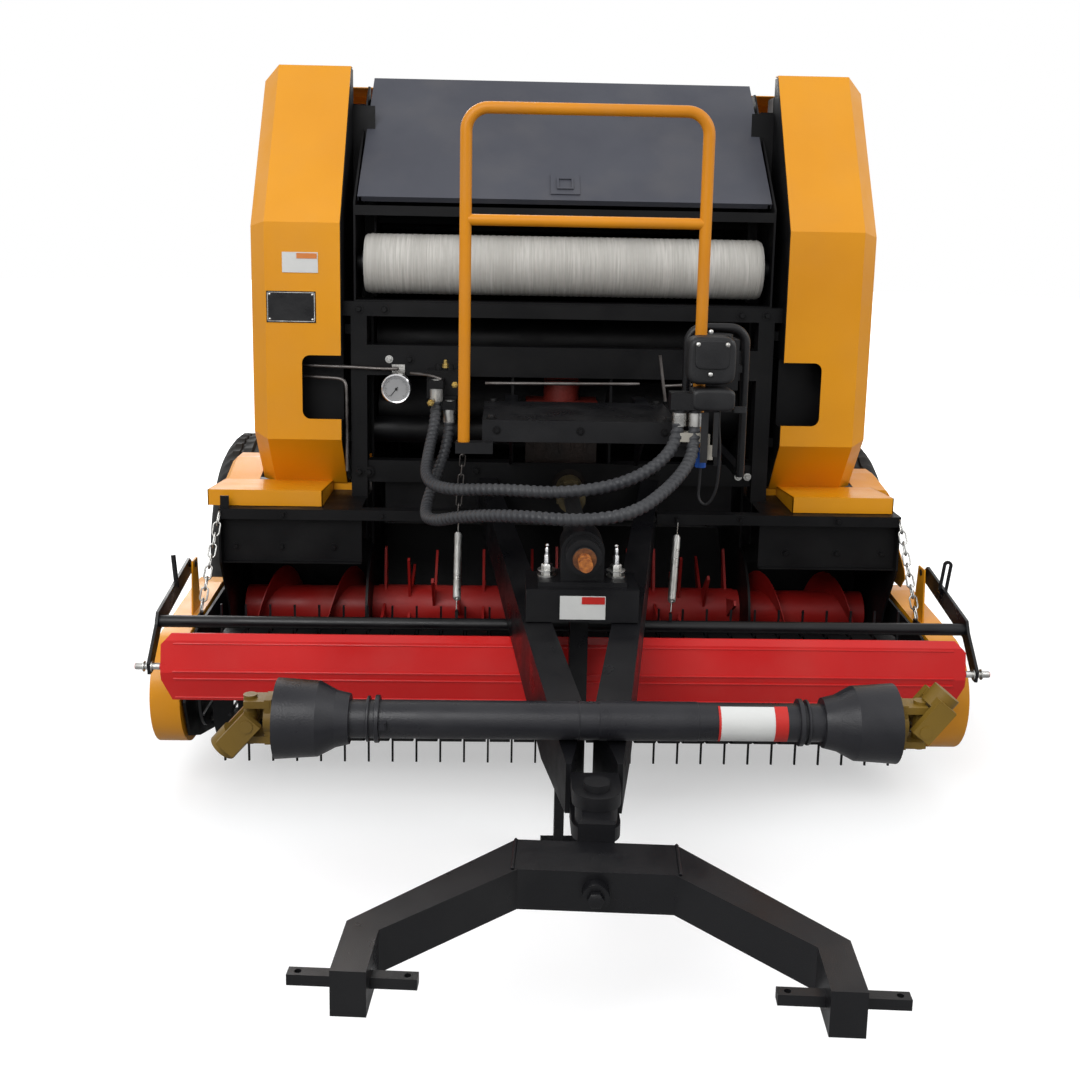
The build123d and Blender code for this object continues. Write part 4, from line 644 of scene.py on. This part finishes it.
# ---- dark sheets on the covers' inner faces and in the gaps behind them, making those places dark ---
dark_sheet_face, dark_sheet_thick, sheet_thick = 0.6880, 0.0014, 0.004
upper_dark_sheet = ((0.104, 1.276), (0.104, 1.672), (0.406, 2.162), (0.446, 2.162), (0.446, 1.276))
lower_dark_sheet = ((0.104, 1.064), (0.104, 1.006), (0.236, 0.844), (0.446, 0.844), (0.446, 1.064))
rear_dark_sheet = (0.616, 0.955, 0.436, 0.90, 2.05)
gap_dark_sheet = (0.694, 0.940, 0.196, 1.02, 1.32)
dark_sheets = []
for side in (-1, 1):
    for outline in (upper_dark_sheet, lower_dark_sheet):
        dark_sheets.append(wall_plate(outline, side * dark_sheet_face, side * (dark_sheet_face + dark_sheet_thick)))
    for inner, outer, y, low, high in (rear_dark_sheet, gap_dark_sheet):
        dark_sheets.append(side_slab(side, inner, outer, (y, low), (y + sheet_thick, high)))
add_piece("cover_dark_sheets", dark_sheets, black, "chassis")

# ---- net on its roll -----------------------------------------------------------------
roll_middle = middle_of("net_roll")
roll_half = 0.625
roll_radius = 0.0938
chain_pitch, thread_pitch = 0.019, 0.0071


def net_material():
    """Knitted netting: fine chains round the roll and soft folds."""
    finish = Finish("rolled_netting", 0.62, gloss=0.35)
    chains = finish.stretched((230, 9, 9))
    folds = finish.stretched((16, 3, 3))
    weave = finish.cloud(1.0, place=chains, detail=3)
    pale = finish.blend(finish.cloud(1.0, place=folds, detail=5), (0.54, 0.52, 0.485), (0.43, 0.415, 0.385))
    finish.colour(finish.blend(weave, pale, (0.40, 0.385, 0.355)))
    finish.bump(finish.cloud(1.0, place=folds), 0.003, 0.5, under=finish.bump(weave, 0.0012, 0.8))
    return finish.material


# The radius swells with the chains and threads across the roll, and falls off at its ends.
across = np.linspace(-roll_half, roll_half, 300)
wraps = (roll_radius + 0.0007 * np.sin(across * 2 * np.pi / chain_pitch)
         + 0.0005 * np.sin(across * 2 * np.pi / thread_pitch + 1.0))
wraps -= 0.006 * np.exp(-(roll_half - np.abs(across)) / 0.006)
wound_net = set_at(turned(np.column_stack([wraps, across]), 72), roll_middle, right)
roll = add_piece("net_on_roll", [wound_net], net_material(), "net_roll", smooth_angle=50)
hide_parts("net_roll")
roll_ends = []
for aim in (left, right):
    for radius, start, end in ((0.040, roll_half, 0.637), (0.026, 0.637, 0.645), (0.012, 0.640, 0.650)):
        profile = [(radius, start), (radius, end - 0.002), (radius - 0.002, end)]
        roll_ends.append(set_at(turned(profile, 28), roll_middle, aim))
add_piece("roll_cores", roll_ends, black_plastic, "net_roll")

# ---- springs and chains of the pickup ------------------------------------------------
spring_radius, spring_wire, spring_turns = 0.0098, 0.0021, 60
spring_feet = ((-0.306, -0.400, 0.6155), (0.296, -0.400, 0.6155))
spring_tops = ((-0.315, -0.078, 0.797), (0.352, -0.078, 0.797))
for name, foot, top in zip(("left", "right"), spring_feet, spring_tops):
    coil = coil_spring(foot, top, spring_radius, spring_wire, spring_turns)
    spring = add_piece(f"{name}_pickup_spring", [coil], bright_steel, None, smooth_angle=60)
    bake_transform(spring)
    if name == "left":
        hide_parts("pickup_springs")
chain_top = (1.040, -0.056, 0.803)
chain_foot = (1.082, -0.145, 0.5215)
for name, side in (("left", -1), ("right", 1)):
    top, foot = ((side * x, y, z) for x, y, z in (chain_top, chain_foot))
    chain = add_piece(f"{name}_pickup_chain", link_chain(top, foot), bright_steel, None, smooth_angle=60)
    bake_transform(chain)
    if name == "left":
        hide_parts("pickup_chains")
spare_links = link_chain((-0.300, -0.105, 1.030), (-0.317, -0.086, 0.815), 0.030, 0.008, 0.0023)
add_piece("spare_hook_chain", spare_links, dark_steel, "chassis", smooth_angle=60)

# ---- tyres ---------------------------------------------------------------------------
wheel_x = 1.125
_, axle_y, wheel_z = middle_of("axle")
tyre_profile = (
    (-0.110, 0.201), (-0.128, 0.226), (-0.139, 0.262), (-0.1395, 0.305), (-0.139, 0.350),
    (-0.124, 0.378), (-0.106, 0.402), (-0.086, 0.4185), (-0.062, 0.4185), (-0.058, 0.409),
    (-0.050, 0.409), (-0.046, 0.4225), (-0.015, 0.4245), (-0.008, 0.413), (0.0, 0.413))
tread_slots, slot_depth, slot_slant = 48, 0.0075, 9.0


def ribbed_tyre(middle):
    """A ring of sections: the profile across the tyre at every angle, its ribs cut by slots
    where the angle times the count of slots, plus a slant, is near a whole number."""
    half_profile = np.array(tyre_profile)
    profile = np.concatenate([half_profile, half_profile[-2::-1] * (-1, 1)])
    width, height = profile[:, 0], profile[:, 1]
    turn = np.linspace(0, 2 * np.pi, 288, endpoint=False)
    phase = (turn[:, None] * tread_slots / (2 * np.pi) + width[None, :] * slot_slant) % 1.0
    groove = 1 - np.clip((0.24 - np.abs(phase - 0.5)) / 0.10, 0, 1)
    on_rib = np.clip((height - 0.395) / 0.02, 0, 1) * (np.abs(width) > 0.03)
    radius = height[None, :] - slot_depth * groove * on_rib[None, :]
    points = np.stack([np.broadcast_to(middle + width, radius.shape),
                       axle_y + radius * np.cos(turn)[:, None],
                       wheel_z + radius * np.sin(turn)[:, None]], axis=2).reshape(-1, 3)
    faces = net(len(turn), len(profile), close_rows=True, close_columns=True)[:, ::-1]
    return points, faces.tolist()


stud_circle, stud_face, hub_face = 0.075, 0.050, 0.088
hub_cap = [(0.044, 0), (0.044, 0.006), (0.040, 0.011), (0.026, 0.015), (0.010, 0.017)]
for name, side in (("left", -1), ("right", 1)):
    middle, aim = side * wheel_x, (side, 0, 0)
    tyre = add_piece(f"{name}_ribbed_tyre", [ribbed_tyre(middle)], tyre_rubber, f"wheel_{name}",
                     smooth_angle=32)
    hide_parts(f"tyre_{name}")
    studs = []
    for angle in np.arange(6) * 2 * math.pi / 6:
        place = (middle + side * stud_face, axle_y + stud_circle * math.cos(angle),
                 wheel_z + stud_circle * math.sin(angle))
        studs.extend(hex_bolt(place, aim, 0.019))
        studs.append(set_at(turned([(0.006, 0.010), (0.006, 0.020)], 12), place, aim))
    studs.append(set_at(turned(hub_cap, 28), (middle + side * hub_face, axle_y, wheel_z), aim))
    add_piece(f"{name}_wheel_studs", studs, bright_steel, f"wheel_{name}")

# ---- pressure gauge ------------------------------------------------------------------
dial = np.array((-0.516, 0.071, 1.173))
bezel_radius, face_radius = 0.046, 0.0385
bezel = [(bezel_radius, -0.012), (bezel_radius, 0.003), (0.043, 0.006), (0.0395, 0.005),
         (face_radius, 0.0012)]
add_piece("gauge_bezel", [set_at(turned(bezel, 48), dial, front)], chrome, "chassis")
dial_grey = moulded("dial_face", (0.34, 0.34, 0.34), (0.26, 0.26, 0.265), 0.3, grain=60)
dial_face = turned([(face_radius, 0.0), (face_radius, 0.0022)], 48)
add_piece("gauge_face", [set_at(dial_face, dial, front)], dial_grey, "chassis")


def dial_bar(degrees, start, end, half_width, half_thick, proud):
    """A thin bar ahead of the dial's face, from one distance to another along an angle."""
    outward = (math.cos(math.radians(degrees)), 0, math.sin(math.radians(degrees)))
    bar = slab((-half_width, -half_thick, start), (half_width, half_thick, end))
    return set_at(bar, dial - (0, proud, 0), outward)


first_mark, mark_step, needle_turn = 225, 9, 232
marks = []
for number in range(31):
    inner = 0.0285 if number % 5 == 0 else 0.032
    marks.append(dial_bar(first_mark - mark_step * number, inner, 0.0355, 0.0005, 0.0003, 0.0026))
marks.append(dial_bar(needle_turn, -0.008, 0.029, 0.0009, 0.0004, 0.0034))
marks.append(set_at(turned([(0.004, 0.002), (0.004, 0.006)], 16), dial, front))
add_piece("gauge_marks", marks, black_plastic, "chassis")

# ---- hydraulic fittings and pipes ----------------------------------------------------
collar_drop, nut_rise, top_drop = 0.030, 0.010, 0.046
lower_collar = [(0.0125, -0.012), (0.0195, -0.010), (0.0195, 0.030), (0.0165, 0.034), (0.0165, 0.042)]
collar_nut = [(0.0165, 0), (0.0165, 0.014), (0.014, 0.016)]
upper_collar = [(0.0195, 0), (0.0195, 0.036), (0.016, 0.038)]
fittings = []
for x, y, z in (upper_route[0], lower_route[0]):
    fittings.append(set_at(turned(lower_collar, 24), (x, y, z - collar_drop), upward))
    fittings.append(set_at(turned(collar_nut, 6), (x, y, z + nut_rise), upward))
for x, y, z in (upper_route[-1], lower_route[-1]):
    fittings.append(set_at(turned(upper_collar, 24), (x, y, z - top_drop), upward))
add_piece("hose_collars", fittings, bright_steel, "chassis")

brass = metal("brass_fitting", (0.62, 0.43, 0.12), (0.42, 0.30, 0.10), 0.34)
brass_parts = []
for place, aim, radius, length in (((-0.402, -0.047, 1.150), front, 0.011, 0.030),
                                   ((-0.330, -0.047, 1.205), front, 0.010, 0.024),
                                   ((-0.360, -0.020, 1.252), upward, 0.010, 0.022)):
    half = length * 0.5
    nut = [(radius, 0), (radius, half), (radius * 0.9, length * 0.55)]
    nose = [(radius * 0.6, half), (radius * 0.6, length), (radius * 0.4, length * 1.1)]
    brass_parts.append(set_at(turned(nut, 6), place, aim))
    brass_parts.append(set_at(turned(nose, 16), place, aim))
add_piece("brass_fittings", brass_parts, brass, "chassis")

pipe_routes = (
    (0.0045, ((-0.470, 0.060, 1.224), (-0.440, 0.040, 1.224), (-0.400, 0.0, 1.224), (-0.372, -0.010, 1.215))),
    (0.0055, ((-0.900, 0.185, 1.232), (-0.780, 0.150, 1.232), (-0.660, 0.142, 1.230),
              (-0.560, 0.142, 1.225), (-0.516, 0.130, 1.228))),
    (0.0055, ((-0.900, 0.190, 1.196), (-0.780, 0.150, 1.196), (-0.700, 0.140, 1.195),
              (-0.680, 0.135, 1.185), (-0.676, 0.130, 1.150), (-0.676, 0.130, 1.000),
              (-0.676, 0.130, 0.900))),
    (0.0050, ((-0.240, -0.010, 1.205), (0.0, -0.010, 1.207), (0.228, -0.010, 1.210))),
    (0.0050, ((0.286, -0.020, 1.300), (0.296, -0.020, 1.230), (0.307, -0.020, 1.160))),
    (0.0045, ((0.304, -0.015, 1.206), (0.420, 0.020, 1.208), (0.520, 0.080, 1.209))))
add_piece("steel_pipes", [tube_run(route, radius) for radius, route in pipe_routes],
          dark_steel, "chassis", smooth_angle=60)

# ---- cases of the monitor and its sensor on the rail ---------------------------------
add_piece("sensor_cases", [rounded_case((0.370, -0.425, 1.336), (0.064, 0.064), 0.062, 0.012),
                           rounded_case((0.376, -0.430, 1.232), (0.058, 0.030), 0.070, 0.010),
                           rounded_case((0.369, -0.486, 1.352), (0.046, 0.038), 0.006, 0.003),
                           slab((0.432, -0.470, 1.196), (0.470, -0.458, 1.212), 0.004),
                           slab((0.345, -0.500, 1.064), (0.364, -0.496, 1.200)),
                           slab((0.378, -0.497, 1.080), (0.392, -0.494, 1.200))],
          black_plastic, "chassis")
case_face = -0.492
case_screws = [(x, case_face, z) for x, z in ((0.362, 1.414), (0.365, 1.301), (0.330, 1.380), (0.408, 1.380))]
add_piece("case_screws", screws_at(case_screws, front, 0.0065), bright_steel, "chassis")

# ---- front aprons of the lower yellow covers -----------------------------------------
apron_front, apron_back = -0.012, 0.236
apron_foot, apron_fold, apron_rear = 0.8165, 0.866, 0.8475
apron_thick = 0.003
apron_sheet = ((apron_front, apron_foot), (apron_front + apron_thick, apron_foot),
               (apron_front + apron_thick, apron_fold - apron_thick),
               (apron_back, apron_rear - apron_thick), (apron_back, apron_rear),
               (apron_front, apron_fold))
apron_cheek = ((apron_front, apron_foot), (apron_back, apron_foot), (apron_back, apron_rear),
               (apron_front, apron_fold))
aprons = []
for side, inner, outer in ((-1, 0.735, 1.085), (1, 0.715, 1.030)):
    aprons.append(wall_plate(apron_sheet, side * inner, side * outer))
    for x in (inner, outer - apron_thick):
        aprons.append(wall_plate(apron_cheek, side * x, side * (x + apron_thick)))
add_piece("cover_aprons", aprons, yellow, "chassis")


# ---- tape round the hoses ------------------------------------------------------------
def stadium_band(middle, half, radius, low, high):
    """A flat band round two hoses: a circle of the radius whose halves are pulled apart across."""
    turn = np.linspace(0, 2 * np.pi, 40, endpoint=False)
    outline = np.column_stack([middle[0] + radius * np.cos(turn) + np.sign(np.cos(turn)) * half,
                               middle[1] + radius * np.sin(turn)])
    return flat_form(outline, low, high)


tape = moulded("cloth_tape", (0.42, 0.40, 0.35), (0.30, 0.28, 0.24), 0.7, grain=180)
add_piece("hose_tape", [stadium_band((0.311, -0.470), 0.021, 0.0205, 1.118, 1.142),
                        slab((0.346, -0.4865, 1.085), (0.372, -0.4850, 1.140)),
                        slab((0.356, -0.4880, 1.070), (0.381, -0.4868, 1.110))], tape, "chassis")

# ---- wind guard: folded ribs, and the bright pins at its ends ------------------------
rib_half, rib_radius = 1.070, 0.0032
ribs = []
for y, z in ((-0.5025, 0.5440), (-0.5185, 0.4700), (-0.5145, 0.4480), (-0.5010, 0.3900)):
    ribs.append(sleeve([(-rib_half, y, z), (0.0, y, z), (rib_half, y, z)], rib_radius, 8))
add_piece("guard_ribs", ribs, red, "pickup")
pin_place = (0, -0.502, 0.478)
pins = []
for aim in (left, right):
    pins.append(set_at(turned([(0.0092, 1.108), (0.0092, 1.1725), (0.0078, 1.1745)], 20), pin_place, aim))
    for x in (1.128, 1.150):
        pins.append(set_at(turned([(0.0150, x), (0.0150, x + 0.0025)], 20), pin_place, aim))
add_piece("guard_pins", pins, bright_steel, "pickup")

# ---- collars and latch of the shaft's guard ------------------------------------------
shaft_y, shaft_z = -1.166, 0.608
ring_edge = 0.0012
guard_rings = []
for x, radius, width in ((-0.452, 0.0520, 0.010), (-0.470, 0.0500, 0.006), (0.482, 0.0520, 0.010),
                         (0.500, 0.0500, 0.006), (-0.005, 0.0436, 0.004), (0.040, 0.0432, 0.220)):
    rounded = [(radius - ring_edge, x), (radius, x + ring_edge),
               (radius, x + width - ring_edge), (radius - ring_edge, x + width)]
    guard_rings.append(set_at(turned(rounded, 48), (0, shaft_y, shaft_z), right))
guard_rings.append(slab((-0.440, -1.222, 0.604), (-0.424, -1.2065, 0.620), 0.003))
add_piece("shaft_guard_collars", guard_rings, guard_plastic, "chassis", smooth_angle=40)


# ---- weld beads of the hitch ---------------------------------------------------------
def weld_bead(start, end, radius=0.0042):
    """A bead of metal: a bar whose radius follows the absolute sine of the way along it, so
    that it swells and shrinks like overlapping drops."""
    start, end = np.asarray(start, float), np.asarray(end, float)
    length = np.linalg.norm(end - start)
    share = np.linspace(0, 1, max(8, int(length / 0.0022)))
    path = start + share[:, None] * (end - start)
    swell = radius * (0.82 + 0.18 * np.abs(np.sin(np.pi * share * length / 0.006)))
    return sleeve(path, swell, 7)


hitch_pin = np.array((0.028, -1.326, 0.0))
yoke_turn = math.radians(-3.6)


def on_yoke(x, y, z):
    """A place measured from the hitch pin along the turned yoke."""
    return hitch_pin + np.array((x * math.cos(yoke_turn) - y * math.sin(yoke_turn),
                                 x * math.sin(yoke_turn) + y * math.cos(yoke_turn), z))


yoke_low, yoke_high = (corner[2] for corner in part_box("hitch_yoke"))
bead_x, bead_front, bead_back = 0.163, -0.221, -0.101
yoke_beads = []
for x in (-bead_x, bead_x):
    for z in (yoke_low, yoke_high):
        yoke_beads.append(weld_bead(on_yoke(x, bead_front, z), on_yoke(x, bead_back, z)))
    yoke_beads.append(weld_bead(on_yoke(x, bead_front, yoke_low), on_yoke(x, bead_front, yoke_high)))
yoke_plug = turned([(0.017, 0), (0.017, 0.010), (0.014, 0.012)], 6)
yoke_ahead = (math.sin(yoke_turn), -math.cos(yoke_turn), 0)
yoke_beads.append(set_at(yoke_plug, on_yoke(0, -0.246, (yoke_low + yoke_high) / 2), yoke_ahead))
add_piece("yoke_weld_beads", yoke_beads, frame_black, "yoke", smooth_angle=50)

# ---- latches of the doors, reflectors and screws on the sides ------------------------
side_face = 0.970
latch_knob = [(0.030, 0.0), (0.030, 0.003), (0.026, 0.005), (0.012, 0.005), (0.012, 0.013), (0.010, 0.015)]
for name, side in (("left", -1), ("right", 1)):
    x, aim = side * side_face, (side, 0, 0)
    latch = [set_at(turned(latch_knob, 32), (x, 0.752, 0.905), aim),
             side_slab(side, side_face, side_face + 0.016, (0.722, 0.899), (0.782, 0.911), 0.004)]
    latch.extend(screws_at([(x, y, z) for y in (0.470, 1.030) for z in (0.870, 1.350, 1.900)], aim, 0.009))
    add_piece(f"{name}_door_latch", latch, black_plastic, f"{name}_door")
    glass = [side_slab(side, side_face, side_face + 0.004, (y - 0.045, 0.982), (y + 0.045, 1.018))
             for y in (1.350, 1.720)]
    amber = moulded(f"{name}_amber", (0.60, 0.15, 0.01), (0.50, 0.12, 0.01), 0.2)
    add_piece(f"{name}_side_reflectors", glass, amber, "tailgate")
    shield_screws = [(x, y, z) for y, z in ((1.110, 1.000), (1.110, 1.500), (1.110, 2.000),
                                            (1.600, 0.760), (1.870, 1.300))]
    add_piece(f"{name}_tail_shield_screws", screws_at(shield_screws, aim, 0.009), bright_steel, "tailgate")


# ---- blank labels and plates ---------------------------------------------------------
def flat_label(face, low, high, thick=0.0009):
    """A thin sheet on a face that looks ahead, between two (x, z) corners."""
    return slab((low[0], face - thick, low[1]), (high[0], face, high[1]))


plate_face = 0.0991
orange_label = moulded("orange_label", (0.62, 0.20, 0.05), (0.52, 0.17, 0.04), 0.4, grain=60)
add_piece("side_label", [flat_label(plate_face, (-0.866, 1.523), (-0.757, 1.585))], white_label, "chassis")
add_piece("side_label_band", [flat_label(0.0980, (-0.822, 1.566), (-0.760, 1.582))], orange_label, "chassis")

plate_x0, plate_x1, plate_z0, plate_z1 = -0.916, -0.765, 1.370, 1.466
type_plate = flat_label(plate_face, (plate_x0, plate_z0), (plate_x1, plate_z1))
add_piece("type_plate", [type_plate], black_label, "chassis")
rim_face, rim_inset, rim_width, screw_inset = 0.0982, 0.003, 0.002, 0.010
x0, x1, z0, z1 = (plate_x0 + rim_inset, plate_x1 - rim_inset, plate_z0 + rim_inset, plate_z1 - rim_inset)
plate_rim = []
for low, high in (((x0, z1 - rim_width), (x1, z1)), ((x0, z0), (x1, z0 + rim_width)),
                  ((x0, z0), (x0 + rim_width, z1)), ((x1 - rim_width, z0), (x1, z1))):
    plate_rim.append(flat_label(rim_face, low, high, 0.0004))
plate_screws = [(x, rim_face, z) for x in (plate_x0 + screw_inset, plate_x1 - screw_inset)
                for z in (plate_z0 + screw_inset, plate_z1 - screw_inset)]
plate_rim.extend(screws_at(plate_screws, front, 0.004))
add_piece("type_plate_rim", plate_rim, bright_steel, "chassis")
box_label = flat_label(-0.7003, (-0.030, 0.689), (0.087, 0.751), 0.0015)
add_piece("box_label", [box_label], white_label, "chassis")
box_band = flat_label(-0.7019, (0.026, 0.730), (0.085, 0.749), 0.0010)
add_piece("box_label_band", [box_band], red_label, "chassis")


def wrapped_label(x0, x1, radius, turn0, turn1):
    """A thin sheet lying on the shaft's guard: radius times cos and sin of the turn, from x0 to x1."""
    count = 20
    turn = np.radians(np.linspace(turn0, turn1, count))
    rim = []
    for reach, x in ((radius, x0), (radius, x1), (radius + 0.0008, x1), (radius + 0.0008, x0)):
        rim.append(np.column_stack([np.full(count, x), shaft_y - reach * np.cos(turn),
                                    shaft_z + reach * np.sin(turn)]))
    first_end = list(range(0, 4 * count, count))
    last_end = [number + count - 1 for number in reversed(first_end)]
    return np.concatenate(rim), net(4, count, close_rows=True).tolist() + [first_end, last_end]


shaft_label = wrapped_label(0.305, 0.452, 0.0421, -52, 72)
shaft_bands = [wrapped_label(x0, x1, 0.0428, -53, 73) for x0, x1 in ((0.302, 0.307), (0.426, 0.455))]
add_piece("shaft_label", [shaft_label], white_label, "chassis", smooth_angle=50)
add_piece("shaft_label_bands", shaft_bands, red_label, "chassis", smooth_angle=50)

# ---- bolts ---------------------------------------------------------------------------
wall_face, beam_face = 0.149, -0.051
large, middling, small = 0.026, 0.017, 0.013
housing_x, housing_y = (-0.062, 0.118), -0.615
bright_bolts = bolts_at([(-0.545, wall_face, 1.256), (0.572, wall_face, 0.895), (0.601, wall_face, 0.895)],
                        front, small)
bright_bolts.extend(bolts_at([(x, housing_y, z) for x in housing_x for z in (0.7812, 0.7952)], upward, large))
add_piece("bright_bolts", bright_bolts, bright_steel, "chassis")

wall_bolts = [(x, wall_face, z) for x, z in (
    (-0.482, 1.257), (-0.640, 0.895), (-0.610, 0.895), (-0.640, 1.412), (0.640, 1.412),
    (-0.560, 1.412), (0.560, 1.412), (-0.268, 0.905), (0.310, 0.905))]
bolts = bolts_at(wall_bolts, front, middling)
for side in (-1, 1):
    bolts.extend(bolts_at([(side * x, -0.016, 0.690) for x in (0.70, 0.86, 1.00)], front, small))
    bolts.extend(hex_bolt((0.028 + side * 0.245, beam_face, 0.800), front, middling))
    bolts.extend(bolts_at([(side * x, beam_face, 0.799) for x in (0.55, 0.85)], front, small))
bolts.extend(bolts_at([(x, y, 1.1531) for x in (-0.215, 0.275) for y in (-0.360, -0.050)], upward, middling))
bolts.extend(bolts_at([(x, -0.3851, 1.125) for x in (-0.200, 0.030, 0.262)], front, small))
add_piece("frame_bolts", bolts, black, "chassis")

stud_profile = [(0.0085, 0.0), (0.0085, 0.052), (0.0070, 0.056)]
nipple_profile = [(0.0055, 0.0), (0.0060, 0.018), (0.0035, 0.022), (0.0055, 0.027), (0.0020, 0.031)]
bearing_studs = []
for x in housing_x:
    bearing_studs.append(set_at(turned(stud_profile, 18), (x, housing_y, 0.7812), upward))
    bearing_studs.append(set_at(turned(nipple_profile, 16), (x, housing_y, 0.835), upward))
add_piece("bearing_studs", bearing_studs, chrome, "chassis")


bpy.context.scene.view_settings.view_transform = "Standard"
